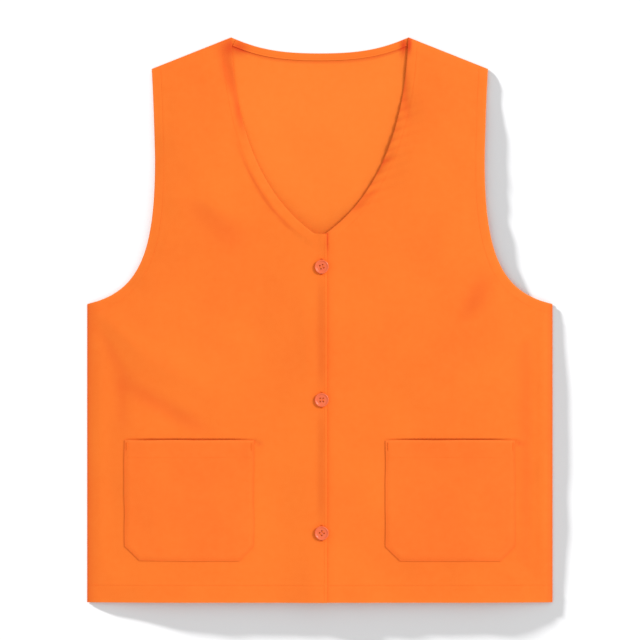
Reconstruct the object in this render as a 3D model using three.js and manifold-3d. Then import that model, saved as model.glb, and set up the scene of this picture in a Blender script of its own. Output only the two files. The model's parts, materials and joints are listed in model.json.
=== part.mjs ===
// A buttoned sleeveless vest lying flat on its back: one back panel, two fronts that overlap at
// the centre, two patch pockets, three buttons, and the facings, seams and hems of its edges.
// Millimetres. +X is the wearer's left, +Y runs from the hem to the neck, and +Z is up, out of
// the front. "Right" and "left" are the wearer's. Each front turns back about its fold line.
import * as THREE from 'three';
import { mergeVertices } from 'three/addons/utils/BufferGeometryUtils.js';
import Module from 'manifold-3d';

const wasm = await Module();
wasm.setup();

// ---- Outline of the body ----
const chestWidth = 544; // side seam to side seam
const bodyLength = 660.5; // hem to the neck points
const armholeDepth = 311.8; // neck points down to the underarm
const shoulderWidth = 393; // between the outer ends of the shoulder seams
const shoulderDrop = 37; // neck point down to the outer end of the shoulder seam
const acrossChest = 385; // between the armholes where they come closest
const acrossChestDrop = 143.5; // neck points down to that place
const neckWidth = 207; // between the neck points
const backNeckDrop = 18.7;
const frontNeckDrop = 229.5; // neck points down to the foot of the front neckline
const neckFootWidth = 14; // the short level stretch at the foot of the neckline

// ---- Front closing ----
const buttonLineX = 2.2; // the buttons sit just to the wearer's left of the centre
const overlapMargin = 6.2; // button line to the edge of the overlapping right front
const underlapMargin = 18; // button line to the hidden edge of the left front
const facingWidth = 40; // the doubled strip down each front edge
const underlapStep = 2; // how far the hidden left top edge lies below the foot
const overlapStep = 1.5; // how far the overlap's top corner lies below the foot

// ---- Buttons ----
const buttonCount = 3;
const firstButtonDrop = 39; // foot of the neckline down to the first button
const lastButtonHeight = 81.5; // hem up to the last button
const buttonDiameter = 16.5;
const buttonThickness = 3;
const buttonHoleRadius = 0.95;
const buttonHoleSpacing = 3.8;
const buttonLift = 0.5; // button above the cloth it closes
const shankRadius = 0.9; // the thread between the button and the left front
const buttonholeLength = 19;
const buttonholeWidth = 2.6;
const buttonholeRim = 1.2; // width of the stitched rim round the slit
const rimProud = 0.2; // the rim stands this far out of the cloth on each face

// ---- Pockets ----
const pocketWidth = 151.5;
const pocketHeight = 141;
const pocketRise = 48.7; // hem to the bottom of the pocket
const pocketCorner = 17; // the cut-off bottom corners
const pocketZoneStart = 33; // the pocket is centred between here and the side seam
const pocketGape = 8; // how far the mouth stands open in its middle
const pocketHemDepth = 22;
const pocketColumns = 12; // facets across; the turned hem stops one short of each side
const tackLength = 9;
const tackWidth = 2;
const tackInset = 3;

// ---- Edge finishes ----
const seamWidth = 10;
const neckBandWidth = 10;
const edgeFacingWidth = 12;
const hemDepth = 22;

// ---- Cloth and the air between its layers ----
const cloth = 0.8;
const facing = 0.6;
const interlining = 0.4;
const interliningInset = 2;
const gap = 0.3; // between layers that touch
const bodySpace = 10; // back to front in the middle of the body
const sideEase = 110; // width over which the front comes down to a side seam
const shoulderEase = 95; // the same, from a shoulder seam
const foldPlace = 0.45; // where the fold line starts at the hem, from the overlap's strip to the pocket
const foldBreak = 0.6; // where the fold line meets the neckline, as a share of the neckline
const foldSplit = 0.006; // share of the neckline kept clear on each side of that meeting

// ---- Places worked out from the sizes ----
const halfChest = chestWidth / 2;
const underarmHeight = bodyLength - armholeDepth;
const footHeight = bodyLength - frontNeckDrop;
const neckPoint = new THREE.Vector2(neckWidth / 2, bodyLength);
const shoulderPoint = new THREE.Vector2(shoulderWidth / 2, bodyLength - shoulderDrop);
const chestPoint = new THREE.Vector2(acrossChest / 2, bodyLength - acrossChestDrop);
const underarmPoint = new THREE.Vector2(halfChest, underarmHeight);
const neckFoot = new THREE.Vector2(neckFootWidth / 2, footHeight);
const backNeckMiddle = new THREE.Vector2(0, bodyLength - backNeckDrop);

const overlapEdge = buttonLineX + overlapMargin;
const overlapInner = facingWidth - overlapEdge; // distance of the strip's inner edge from x = 0
const underlapEdge = buttonLineX - underlapMargin;
const underlapInner = underlapEdge + facingWidth;

const pocketX = (halfChest + pocketZoneStart) / 2;
const pocketMouth = pocketRise + pocketHeight;
const foldHem = THREE.MathUtils.lerp(overlapInner, pocketX - pocketWidth / 2, foldPlace);

const closedSpace = gap + facing + gap;
const frontLevel = cloth + bodySpace;
const overlapRise = cloth + gap + facing + gap + interlining + gap;
const overlapTop = frontLevel + overlapRise + cloth;

// A point part of the way from one point to another, with its own share along X and along Y.
function between(from, to, shareX, shareY) {
  const x = THREE.MathUtils.lerp(from.x, to.x, shareX);
  return new THREE.Vector2(x, THREE.MathUtils.lerp(from.y, to.y, shareY));
}

// ---- Edge curves on the wearer's left half ----
const neckline = new THREE.CubicBezierCurve(
  neckFoot,
  between(neckFoot, neckPoint, 0.777, 0.235),
  between(neckFoot, neckPoint, 0.974, 0.658),
  neckPoint,
);

const armhole = new THREE.CurvePath();
armhole.add(new THREE.CubicBezierCurve(
  underarmPoint,
  between(underarmPoint, chestPoint, 0.78, 0.079),
  between(underarmPoint, chestPoint, 1, 0.364),
  chestPoint,
));
armhole.add(new THREE.QuadraticBezierCurve(
  chestPoint,
  between(chestPoint, shoulderPoint, 0.25, 0.5),
  shoulderPoint,
));

const backNeck = new THREE.CubicBezierCurve(
  neckPoint,
  between(neckPoint, backNeckMiddle, 0.324, 0.8),
  between(neckPoint, backNeckMiddle, 0.585, 1),
  backNeckMiddle,
);

// Where along a curve a measure of its points passes a value; the measure only rises or falls.
function shareWhere(curve, measure, value) {
  const rising = measure(curve.getPoint(1)) > measure(curve.getPoint(0));
  let low = 0;
  let high = 1;
  for (let step = 0; step < 40; step += 1) {
    const middle = (low + high) / 2;
    const below = measure(curve.getPoint(middle)) < value;
    if (below === rising) low = middle;
    else high = middle;
  }
  return (low + high) / 2;
}

// Distance below the shoulder seam, on either half of the body.
function fromShoulder(x, y) {
  const run = shoulderPoint.x - neckPoint.x;
  const across = (neckPoint.x - Math.abs(x)) * shoulderDrop + (neckPoint.y - y) * run;
  return across / Math.hypot(run, shoulderDrop);
}

// The curve beside a curve: to the left of its direction for a positive distance.
function beside(curve, distance) {
  return {
    getPoint(share) {
      const along = curve.getTangent(share);
      const point = curve.getPoint(share);
      return new THREE.Vector2(point.x - along.y * distance, point.y + along.x * distance);
    },
  };
}

const straight = (from, to) => (share) => from.clone().lerp(to, share);
const stretch = (curve, from, to) => (share) => curve.getPoint(from + (to - from) * share);

// Several stretches end to end, read by the share of their whole length.
function chain(...pieces) {
  const lengths = pieces.map((piece) => {
    const marks = Array.from({ length: 25 }, (_, i) => piece(i / 24));
    return marks.slice(1).reduce((sum, mark, i) => sum + mark.distanceTo(marks[i]), 0);
  });
  const total = lengths.reduce((sum, length) => sum + length, 0);
  const knots = [0];
  for (const length of lengths) knots.push(knots[knots.length - 1] + length / total);
  const at = (share) => {
    const index = Math.min(
      pieces.length - 1,
      knots.slice(1).findIndex((knot) => share <= knot + 1e-9),
    );
    const piece = index < 0 ? pieces.length - 1 : index;
    return pieces[piece]((share - knots[piece]) / (knots[piece + 1] - knots[piece]));
  };
  return { at, knots };
}

// Row places for a sheet: every knot has a row, and the rest are spread about evenly.
function rowsThrough(knots, count) {
  const stops = [...knots].sort((a, b) => a - b).filter((k, i, all) => i === 0 || k - all[i - 1] > 1e-3);
  const rows = [0];
  for (let i = 1; i < stops.length; i += 1) {
    const parts = Math.max(1, Math.round((stops[i] - stops[i - 1]) * count));
    for (let part = 1; part <= parts; part += 1) {
      rows.push(stops[i - 1] + ((stops[i] - stops[i - 1]) * part) / parts);
    }
  }
  return rows;
}

const evenRows = (count) => rowsThrough([0, 1], count);

const neckFacingEdge = beside(neckline, -edgeFacingWidth);
const shoulderDistance = (point) => fromShoulder(point.x, point.y);
const clearOfShoulder = seamWidth + gap;
const clearOfSide = halfChest - seamWidth - gap;

// ---- The fold line of a front ----
const foldTop = neckline.getPoint(foldBreak);
const foldX = (y) => foldHem + ((foldTop.x - foldHem) * y) / foldTop.y;

// ---- Heights of the front cloth's underside ----
const ease = (distance, reach) => (
  Math.sin((Math.PI / 2) * THREE.MathUtils.clamp(distance / reach, 0, 1))
);

function frontUnder(x, y) {
  const open = ease(halfChest - Math.abs(x), sideEase) * ease(fromShoulder(x, y), shoulderEase);
  return cloth + closedSpace + (bodySpace - closedSpace) * open;
}

// The right front climbs from its fold line onto the left front that it overlaps.
function rightFlapUnder(x, y) {
  const climb = THREE.MathUtils.smoothstep(foldX(y) - x, 0, foldX(y) - overlapInner);
  return frontUnder(x, y) + overlapRise * climb;
}

const facingUnder = (under) => (x, y) => under(x, y) - gap - facing;

// ---- Makers of solids ----
// A sheet whose rows run from an inner edge to an outer edge, over a given underside.
function sheet({ inner, outer, under, thickness, columns, rows }) {
  const geometry = new THREE.BoxGeometry(1, 1, 1, columns, rows.length - 1, 1);
  const corner = geometry.attributes.position;
  for (let i = 0; i < corner.count; i += 1) {
    const row = rows[Math.round((corner.getY(i) + 0.5) * (rows.length - 1))];
    const point = inner(row).lerp(outer(row), corner.getX(i) + 0.5);
    const height = under(point.x, point.y) + (corner.getZ(i) + 0.5) * thickness;
    corner.setXYZ(i, point.x, point.y, height);
  }
  return geometry;
}

// A flat plate with the given outline and holes.
function plate(outline, bottom, thickness, holes = []) {
  const points = outline.filter((point, i) => (
    point.distanceTo(outline[(i + 1) % outline.length]) > 0.01
  ));
  const shape = new THREE.Shape(points);
  shape.holes = holes;
  const geometry = new THREE.ExtrudeGeometry(shape, {
    depth: thickness, bevelEnabled: false, curveSegments: 6,
  });
  return geometry.translate(0, 0, bottom);
}

const pointsOn = (curve, from, to, steps) => (
  Array.from({ length: steps + 1 }, (_, i) => curve.getPoint(from + ((to - from) * i) / steps))
);

const mirrored = (points) => points.map((point) => new THREE.Vector2(-point.x, point.y)).reverse();

// A slit with round ends, standing upright.
function slit(y, length, width) {
  const radius = width / 2;
  const reach = length / 2 - radius;
  const path = new THREE.Path();
  path.absarc(buttonLineX, y + reach, radius, 0, Math.PI);
  path.absarc(buttonLineX, y - reach, radius, Math.PI, 2 * Math.PI);
  path.closePath();
  return path;
}

function solidOf(geometry) {
  const bare = geometry.clone().deleteAttribute('normal').deleteAttribute('uv');
  const merged = mergeVertices(bare, 1e-4);
  return new wasm.Manifold(new wasm.Mesh({
    numProp: 3,
    vertProperties: merged.attributes.position.array,
    triVerts: new Uint32Array(merged.index.array),
  }));
}

function geometryOf(solid) {
  const { vertProperties, triVerts } = solid.getMesh();
  const geometry = new THREE.BufferGeometry();
  geometry.setAttribute('position', new THREE.BufferAttribute(vertProperties, 3));
  geometry.setIndex(new THREE.BufferAttribute(triVerts, 1));
  geometry.computeVertexNormals();
  return geometry;
}

// ---- Materials ----
const fabric = (color) => new THREE.MeshStandardMaterial({ color, roughness: 0.9, metalness: 0 });
const bodyCloth = fabric(0xfc7e30);
const pocketCloth = fabric(0xfd7b30);
const facingCloth = fabric(0xfb8438);
const stiffener = fabric(0xf3ede2);
const sewingThread = fabric(0xf06a26);
const buttonPlastic = new THREE.MeshStandardMaterial({
  color: 0xf0704a, roughness: 0.35, metalness: 0,
});

const vest = new THREE.Group();
vest.position.y = -bodyLength / 2;

function add(name, geometry, material) {
  const mesh = new THREE.Mesh(geometry, material);
  mesh.name = name;
  vest.add(mesh);
  return mesh;
}

// The same piece on both halves of the body.
function addPair(name, geometry, material) {
  add(`left_${name}`, geometry, material);
  add(`right_${name}`, geometry, material).scale.x = -1;
}

// ---- Back ----
function backPanel() {
  const half = [
    new THREE.Vector2(halfChest, 0),
    ...pointsOn(armhole, 0, 1, 22),
    ...pointsOn(backNeck, 0, 1, 9),
  ];
  return plate([...half, ...mirrored(half)], 0, cloth);
}

function backNeckBand() {
  const lowerEdge = beside(backNeck, neckBandWidth);
  const upper = pointsOn(backNeck, shareWhere(backNeck, shoulderDistance, clearOfShoulder), 1, 9);
  const lower = pointsOn(lowerEdge, shareWhere(lowerEdge, shoulderDistance, clearOfShoulder), 1, 9);
  const half = [...lower.reverse(), ...upper];
  return plate([...half, ...mirrored(half)], cloth + gap, facing);
}

function backHem() {
  const geometry = new THREE.BoxGeometry(2 * clearOfSide, hemDepth, facing);
  return geometry.translate(0, hemDepth / 2, cloth + gap + facing / 2);
}

// The stretch of an armhole line that is free of the side and shoulder seams.
function freeOfSeams(curve) {
  const start = shareWhere(curve, (point) => point.x, clearOfSide);
  return stretch(curve, start, shareWhere(curve, shoulderDistance, clearOfShoulder));
}

const armholeFacingInner = freeOfSeams(beside(armhole, edgeFacingWidth));
const armholeFacingOuter = freeOfSeams(armhole);

function backArmholeFacing() {
  const shares = evenRows(16);
  const outline = [...shares.map(armholeFacingOuter), ...shares.reverse().map(armholeFacingInner)];
  return plate(outline, cloth + gap, facing);
}

// ---- Fronts, as far in as the fold line ----
function frontSide() {
  const foldFoot = new THREE.Vector2(foldHem + gap / 2, 0);
  const meeting = foldBreak + foldSplit;
  const inner = chain(
    straight(foldFoot, neckline.getPoint(meeting)),
    stretch(neckline, meeting, 1),
  );
  const outer = chain(
    straight(new THREE.Vector2(halfChest, 0), underarmPoint),
    stretch(armhole, 0, 1),
  );
  const rows = rowsThrough([...inner.knots, ...outer.knots], 26);
  return sheet({
    inner: inner.at, outer: outer.at, under: frontUnder, thickness: cloth, columns: 12, rows,
  });
}

function frontSideHem() {
  return sheet({
    inner: (share) => new THREE.Vector2(foldX(share * hemDepth) + gap / 2, share * hemDepth),
    outer: (share) => new THREE.Vector2(clearOfSide, share * hemDepth),
    under: facingUnder(frontUnder),
    thickness: facing,
    columns: 12,
    rows: evenRows(1),
  });
}

function frontArmholeFacing() {
  return sheet({
    inner: armholeFacingInner,
    outer: armholeFacingOuter,
    under: facingUnder(frontUnder),
    thickness: facing,
    columns: 1,
    rows: evenRows(18),
  });
}

// The neck facing above the fold line's end, up to the shoulder seam.
function upperNeckFacing() {
  const start = foldBreak + foldSplit;
  const edge = (curve) => (
    stretch(curve, start, shareWhere(curve, shoulderDistance, clearOfShoulder))
  );
  return sheet({
    inner: edge(neckline),
    outer: edge(neckFacingEdge),
    under: facingUnder(frontUnder),
    thickness: facing,
    columns: 1,
    rows: evenRows(8),
  });
}

// ---- Seams: the allowances that lie between front and back ----
function sideSeam() {
  const geometry = new THREE.BoxGeometry(seamWidth, underarmHeight, facing);
  const height = cloth + gap + facing / 2;
  return geometry.translate(halfChest - seamWidth / 2, underarmHeight / 2, height);
}

function shoulderSeam() {
  const atNeck = neckline.getPoint(shareWhere(neckline, shoulderDistance, seamWidth));
  const atArm = armhole.getPoint(shareWhere(armhole, shoulderDistance, seamWidth));
  return plate([neckPoint, atNeck, atArm, shoulderPoint], cloth + gap, facing);
}

// ---- Pockets ----
function pocketUnder(x, y) {
  const across = THREE.MathUtils.clamp((x - pocketX) / pocketWidth + 0.5, 0, 1);
  const up = THREE.MathUtils.clamp((y - pocketRise) / pocketHeight, 0, 1);
  const lift = (Math.sin(Math.PI * across) * Math.sin((Math.PI / 2) * up)) ** 0.6;
  return frontUnder(x, y) + cloth + gap + pocketGape * lift;
}

function pocketPatch() {
  const edge = (side) => (share) => {
    const cut = Math.max(0, pocketCorner - share * pocketHeight);
    const x = pocketX + side * (pocketWidth / 2 - cut);
    return new THREE.Vector2(x, pocketRise + share * pocketHeight);
  };
  return sheet({
    inner: edge(-1),
    outer: edge(1),
    under: pocketUnder,
    thickness: cloth,
    columns: pocketColumns,
    rows: rowsThrough([0, pocketCorner / pocketHeight, 1], 9),
  });
}

function pocketHem() {
  const edge = (side) => (share) => {
    const x = pocketX + side * (pocketWidth / 2 - pocketWidth / pocketColumns);
    return new THREE.Vector2(x, pocketMouth - pocketHemDepth * (1 - share));
  };
  return sheet({
    inner: edge(-1),
    outer: edge(1),
    under: facingUnder(pocketUnder),
    thickness: facing,
    columns: pocketColumns - 2,
    rows: evenRows(2),
  });
}

// A short bar of stitches at one end of the mouth; end is -1 at the inner end, 1 at the outer.
function pocketTack(end) {
  const x = pocketX + end * (pocketWidth / 2 - tackInset);
  const y = pocketMouth - tackLength / 2 - tackInset;
  const inward = x - (end * tackWidth) / 2;
  const seat = pocketUnder(inward, y + tackLength / 2) + cloth + gap;
  const geometry = new THREE.BoxGeometry(tackWidth, tackLength, facing);
  return geometry.translate(x, y, seat + facing / 2);
}

// ---- Right front inside its fold line: it overlaps ----
const flapTop = foldBreak - foldSplit;
const flapInnerTop = foldBreak - 3 * foldSplit;

function flapNeckFacing(startX, under) {
  const edge = (curve) => (
    stretch(curve, shareWhere(curve, (point) => point.x, startX), flapInnerTop)
  );
  const outer = (row) => {
    const point = edge(neckFacingEdge)(row);
    point.x = Math.min(point.x, foldX(point.y) - gap / 2);
    return point;
  };
  return sheet({
    inner: edge(neckline),
    outer,
    under: facingUnder(under),
    thickness: facing,
    columns: 1,
    rows: evenRows(12),
  });
}

const overlapJoin = overlapInner + gap; // where the cloth of the flap meets the strip
const overlapJoinShare = shareWhere(neckline, (point) => point.x, overlapJoin);

function rightFlap() {
  const inner = chain(
    straight(
      new THREE.Vector2(overlapJoin, 0),
      neckline.getPoint(overlapJoinShare),
    ),
    stretch(neckline, overlapJoinShare, flapInnerTop),
  );
  const outer = straight(
    new THREE.Vector2(foldHem - gap / 2, 0),
    neckline.getPoint(flapTop),
  );
  return sheet({
    inner: inner.at,
    outer,
    under: rightFlapUnder,
    thickness: cloth,
    columns: 6,
    rows: rowsThrough(inner.knots, 20),
  });
}

function flapHem(start, under) {
  return sheet({
    inner: (share) => new THREE.Vector2(start, share * hemDepth),
    outer: (share) => new THREE.Vector2(foldX(share * hemDepth) - gap / 2, share * hemDepth),
    under: facingUnder(under),
    thickness: facing,
    columns: 6,
    rows: evenRows(1),
  });
}

const buttonHeights = Array.from({ length: buttonCount }, (_, i) => {
  const first = footHeight - firstButtonDrop;
  return first + ((lastButtonHeight - first) * i) / (buttonCount - 1);
});

// One layer of the strip down the overlapping edge, with its three slits.
const rimOuterLength = buttonholeLength + 2 * buttonholeRim;
const rimOuterWidth = buttonholeWidth + 2 * buttonholeRim;

function stripSlits() {
  return buttonHeights.map((y) => slit(y, rimOuterLength + 2 * gap, rimOuterWidth + 2 * gap));
}

function overlapStrip(bottom, thickness) {
  const top = shareWhere(neckline, (point) => point.x, overlapInner);
  const outline = [
    new THREE.Vector2(-overlapInner, 0),
    new THREE.Vector2(overlapEdge, 0),
    new THREE.Vector2(overlapEdge, footHeight - overlapStep),
    ...mirrored(pointsOn(neckline, 0, top, 6)).reverse(),
  ];
  return plate(outline, bottom, thickness, stripSlits());
}

// The stiffening layer inside a front edge strip.
function interliningStrip(from, to, bottom, holes = []) {
  const top = footHeight - Math.max(underlapStep, overlapStep) - interliningInset;
  const outline = [
    new THREE.Vector2(from + interliningInset, interliningInset),
    new THREE.Vector2(to - interliningInset, interliningInset),
    new THREE.Vector2(to - interliningInset, top),
    new THREE.Vector2(from + interliningInset, top),
  ];
  return plate(outline, bottom, interlining, holes);
}

// The stitched rim lines the slit through all three layers of the strip.
function buttonholeRing(y) {
  const outline = slit(y, rimOuterLength, rimOuterWidth).getPoints(6);
  const opening = slit(y, buttonholeLength, buttonholeWidth);
  const bottom = overlapTop - cloth - gap - interlining - gap - facing - rimProud;
  const height = overlapTop + rimProud - bottom;
  return plate(outline, bottom, height, [opening]);
}

// ---- Left front inside its fold line: it lies under ----
function leftFlap() {
  const outline = [
    new THREE.Vector2(underlapEdge, 0),
    new THREE.Vector2(foldHem - gap / 2, 0),
    ...pointsOn(neckline, flapTop, 0, 14),
    new THREE.Vector2(underlapEdge, footHeight - underlapStep),
  ];
  return plate(outline, frontLevel, cloth);
}

function leftFrontFacing() {
  const top = shareWhere(neckline, (point) => point.x, underlapInner);
  const outline = [
    new THREE.Vector2(underlapEdge, 0),
    new THREE.Vector2(underlapInner, 0),
    ...pointsOn(neckline, top, 0, 6),
    new THREE.Vector2(underlapEdge, footHeight - underlapStep),
  ];
  return plate(outline, frontLevel - gap - interlining - gap - facing, facing);
}

// ---- Buttons ----
function button(y) {
  const radius = buttonDiameter / 2;
  const profile = [
    new THREE.Vector2(0, 0),
    new THREE.Vector2(radius * 0.78, 0),
    new THREE.Vector2(radius, buttonThickness * 0.42),
    new THREE.Vector2(radius, buttonThickness * 0.74),
    new THREE.Vector2(radius * 0.9, buttonThickness),
    new THREE.Vector2(radius * 0.78, buttonThickness * 0.95),
    new THREE.Vector2(radius * 0.64, buttonThickness * 0.66),
    new THREE.Vector2(0, buttonThickness * 0.6),
  ];
  let solid = solidOf(new THREE.LatheGeometry(profile, 28).rotateX(Math.PI / 2));
  const offset = buttonHoleSpacing / 2;
  for (const across of [-offset, offset]) {
    for (const up of [-offset, offset]) {
      const hole = new THREE.CylinderGeometry(
        buttonHoleRadius,
        buttonHoleRadius,
        buttonThickness * 3,
        8,
      );
      solid = solid.subtract(solidOf(hole.rotateX(Math.PI / 2).translate(across, up, 0)));
    }
  }
  return geometryOf(solid).translate(buttonLineX, y, overlapTop + buttonLift);
}

function buttonShank(y) {
  const bottom = frontLevel + cloth + gap;
  const height = overlapTop + buttonLift - gap - bottom;
  const geometry = new THREE.CylinderGeometry(shankRadius, shankRadius, height, 10);
  return geometry.rotateX(Math.PI / 2).translate(buttonLineX, y, bottom + height / 2);
}

// ---- The whole vest ----
add('back_panel', backPanel(), bodyCloth);
add('back_neck_band', backNeckBand(), facingCloth);
add('back_hem', backHem(), facingCloth);
addPair('back_armhole_facing', backArmholeFacing(), facingCloth);
addPair('side_seam', sideSeam(), sewingThread);
addPair('shoulder_seam', shoulderSeam(), sewingThread);

addPair('front_side', frontSide(), bodyCloth);
addPair('front_side_hem', frontSideHem(), facingCloth);
addPair('front_armhole_facing', frontArmholeFacing(), facingCloth);
addPair('upper_neck_facing', upperNeckFacing(), facingCloth);

addPair('pocket', pocketPatch(), pocketCloth);
addPair('pocket_hem', pocketHem(), pocketCloth);
addPair('pocket_inner_tack', pocketTack(-1), sewingThread);
addPair('pocket_outer_tack', pocketTack(1), sewingThread);

add('right_front_flap', rightFlap(), bodyCloth).scale.x = -1;
add('right_flap_hem', flapHem(overlapJoin, rightFlapUnder), facingCloth).scale.x = -1;
add(
  'right_lower_neck_facing',
  flapNeckFacing(overlapJoin, rightFlapUnder),
  facingCloth,
).scale.x = -1;
add('right_placket', overlapStrip(overlapTop - cloth, cloth), bodyCloth);
add(
  'right_interlining',
  interliningStrip(-overlapInner, overlapEdge, overlapTop - cloth - gap - interlining, stripSlits()),
  stiffener,
);
add('right_front_facing', overlapStrip(frontLevel + cloth + gap, facing), facingCloth);

const underlapJoin = underlapInner + gap;
add('left_front_flap', leftFlap(), bodyCloth);
add('left_flap_hem', flapHem(underlapJoin, frontUnder), facingCloth);
add('left_lower_neck_facing', flapNeckFacing(underlapJoin, frontUnder), facingCloth);
add(
  'left_interlining',
  interliningStrip(underlapEdge, underlapInner, frontLevel - gap - interlining),
  stiffener,
);
add('left_front_facing', leftFrontFacing(), facingCloth);

buttonHeights.forEach((y, i) => {
  add(`buttonhole_${i + 1}`, buttonholeRing(y), sewingThread);
  add(`button_shank_${i + 1}`, buttonShank(y), sewingThread);
  add(`button_${i + 1}`, button(y), buttonPlastic);
});

export default vest;
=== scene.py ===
import json
import math

import bpy
import numpy as np
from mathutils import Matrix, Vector, noise


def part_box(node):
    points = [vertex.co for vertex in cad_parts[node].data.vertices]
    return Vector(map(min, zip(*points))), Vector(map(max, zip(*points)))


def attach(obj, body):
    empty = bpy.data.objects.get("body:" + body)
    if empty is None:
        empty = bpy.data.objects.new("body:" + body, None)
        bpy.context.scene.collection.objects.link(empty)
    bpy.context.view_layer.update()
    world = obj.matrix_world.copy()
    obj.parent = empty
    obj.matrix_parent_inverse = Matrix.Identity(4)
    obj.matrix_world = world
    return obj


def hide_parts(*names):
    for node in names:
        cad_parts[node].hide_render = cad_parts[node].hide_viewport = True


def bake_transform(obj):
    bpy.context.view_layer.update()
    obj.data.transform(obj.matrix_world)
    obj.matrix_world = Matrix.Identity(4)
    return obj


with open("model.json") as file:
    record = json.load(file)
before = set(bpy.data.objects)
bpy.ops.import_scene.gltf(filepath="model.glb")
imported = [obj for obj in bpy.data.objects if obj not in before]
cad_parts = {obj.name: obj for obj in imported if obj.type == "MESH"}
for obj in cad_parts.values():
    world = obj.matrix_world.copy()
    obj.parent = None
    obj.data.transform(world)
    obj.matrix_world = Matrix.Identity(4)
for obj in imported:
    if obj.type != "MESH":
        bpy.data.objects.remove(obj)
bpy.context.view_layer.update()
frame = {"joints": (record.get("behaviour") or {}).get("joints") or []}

MM = 0.001

# ---- Camera: straight above the vest, neck up ----
VIEW_WIDTH = 0.7488
LENS = 200.0
SENSOR = 36.0


def overhead_camera():
    data = bpy.data.cameras.new("overhead_camera")
    data.lens = LENS
    data.sensor_width = SENSOR
    data.clip_end = 20.0
    camera = bpy.data.objects.new("overhead_camera", data)
    camera.location = (0.0002, -0.0003, VIEW_WIDTH * LENS / SENSOR)
    bpy.context.scene.collection.objects.link(camera)
    bpy.context.scene.camera = camera


overhead_camera()

# ---- Places taken from the frame ----
back_low, back_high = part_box("back_panel")
HEM = back_low.y  # plan heights below are measured from the hem
HALF_CHEST = back_high.x
pocket_low, pocket_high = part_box("left_pocket")
POCKET_INNER = pocket_low.x
POCKET_OUTER = pocket_high.x
POCKET_FOOT = pocket_low.y - HEM
POCKET_MOUTH = pocket_high.y - HEM
strip_low, strip_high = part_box("right_placket")
OVERLAP_EDGE = strip_high.x
OVERLAP_INNER = -strip_low.x
under_low, under_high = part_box("left_front_facing")
UNDERLAP_EDGE = under_low.x
UNDERLAP_INNER = under_high.x
BUTTONS = ("button_1", "button_2", "button_3")
button_boxes = [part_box(name) for name in BUTTONS]
BUTTON_X = (button_boxes[0][0].x + button_boxes[0][1].x) / 2
BUTTON_RISES = [(low.y + high.y) / 2 - HEM for low, high in button_boxes]
BUTTON_FLOOR = button_boxes[0][0].z
BUTTON_RADIUS = (button_boxes[0][1].x - button_boxes[0][0].x) / 2
BUTTON_THICKNESS = button_boxes[0][1].z - button_boxes[0][0].z

fold_joint = next(j for j in frame["joints"] if j["name"] == "left_front_fold")
FOLD_START = Vector(fold_joint["pos_m"])
FOLD_RUN = Vector(fold_joint["axis"]).normalized()
FOLD_TURN = 9 * MM  # width of cloth that makes the turn of a fold

# ---- Sizes of the cloth and its layers ----
CLOTH = 0.45 * MM
LINING = 0.4 * MM
STIFFENING = 0.3 * MM
BACK_LEVEL = 0.4 * MM
SIDE_EASE = 110 * MM
SHOULDER_EASE = 95 * MM
SEAM_LEVEL = 2.4 * MM
BODY_SPACE = 8.8 * MM
OVERLAP_RISE = 3.0 * MM  # how far the overlap lies above the body of the fronts
UNDERLAP_RISE = 0.9 * MM
NECK_SINK = 0.6  # share of the body space lost where a front falls to its neckline
ARM_SINK = 0.6  # the same at the armholes
FACING_WIDTH = 12 * MM
BAND_WIDTH = 8.4 * MM
HEM_DEPTH = 22 * MM
TURN_LIFT = 0.6 * MM  # from the middle of a cloth to the middle of a hem or binding on it
CUT_CORNER = 17 * MM
SLIT_HALF_LENGTH = 8.6 * MM
SLIT_HALF_WIDTH = 0.5 * MM
LINED_SLIT_HALF_WIDTH = 0.9 * MM  # the slit through the layers under the cloth
EDGE_STITCH = 10.5 * MM  # stitch line in from the neckline and the armholes
HEM_STITCH = 20 * MM  # stitch line above the hem and below a pocket's mouth
BAND_STITCH = 6.0 * MM  # stitch line below the back neck edge
POCKET_STITCH = 2.2 * MM  # stitch line inside a pocket's edge
SEAM_CLEAR = 10.3 * MM  # bindings and hems stop this far from a seam
OVERLAP_STEP = 1.5 * MM  # the overlap's top corner lies this far below the neckline's foot
UNDERLAP_STEP = 2.0 * MM  # the same for the left front's hidden top edge
PUCKER_REACH = 12 * MM  # how far the neckline's puckers run into the cloth
EDGE_STEPS = np.array([0, 0.35, 0.9, 1.8, 3.2]) * MM  # close rows and columns along every edge
SIDE_WORD = {1: "left", -1: "right"}


# ---- Curves of the cut, on the wearer's left half ----
def cubic(a, b, c, d, count):
    t = np.linspace(0, 1, count)[:, None]
    a, b, c, d = (np.array(p) for p in (a, b, c, d))
    return (1 - t) ** 3 * a + 3 * (1 - t) ** 2 * t * b + 3 * (1 - t) * t * t * c + t ** 3 * d


def quadratic(a, b, c, count):
    t = np.linspace(0, 1, count)[:, None]
    a, b, c = (np.array(p) for p in (a, b, c))
    return (1 - t) ** 2 * a + 2 * (1 - t) * t * b + t * t * c


NECK_FOOT = (0.007, 0.431)
NECK_POINT = (0.1035, 0.6605)
SHOULDER_POINT = (0.1965, 0.6235)
CHEST_POINT = (0.1925, 0.517)
UNDERARM = (0.272, 0.3487)
NECKLINE = cubic(NECK_FOOT, (0.08198, 0.48493), (0.10099, 0.58201), NECK_POINT, 61)
ARMHOLE = np.concatenate([
    cubic(UNDERARM, (0.21, 0.36199), (0.1925, 0.40996), CHEST_POINT, 41),
    quadratic(CHEST_POINT, (0.1935, 0.57025), SHOULDER_POINT, 21)[1:],
])
BACK_NECK = cubic(NECK_POINT, (0.06997, 0.64554), (0.04295, 0.6418), (0.0, 0.6418), 41)


def distances(path):
    steps = np.linalg.norm(np.diff(path, axis=0), axis=1)
    return np.concatenate([[0], np.cumsum(steps)])


def at(path, places):
    run = distances(path)
    return np.stack([np.interp(places, run, path[:, k]) for k in (0, 1)], axis=1)


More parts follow.
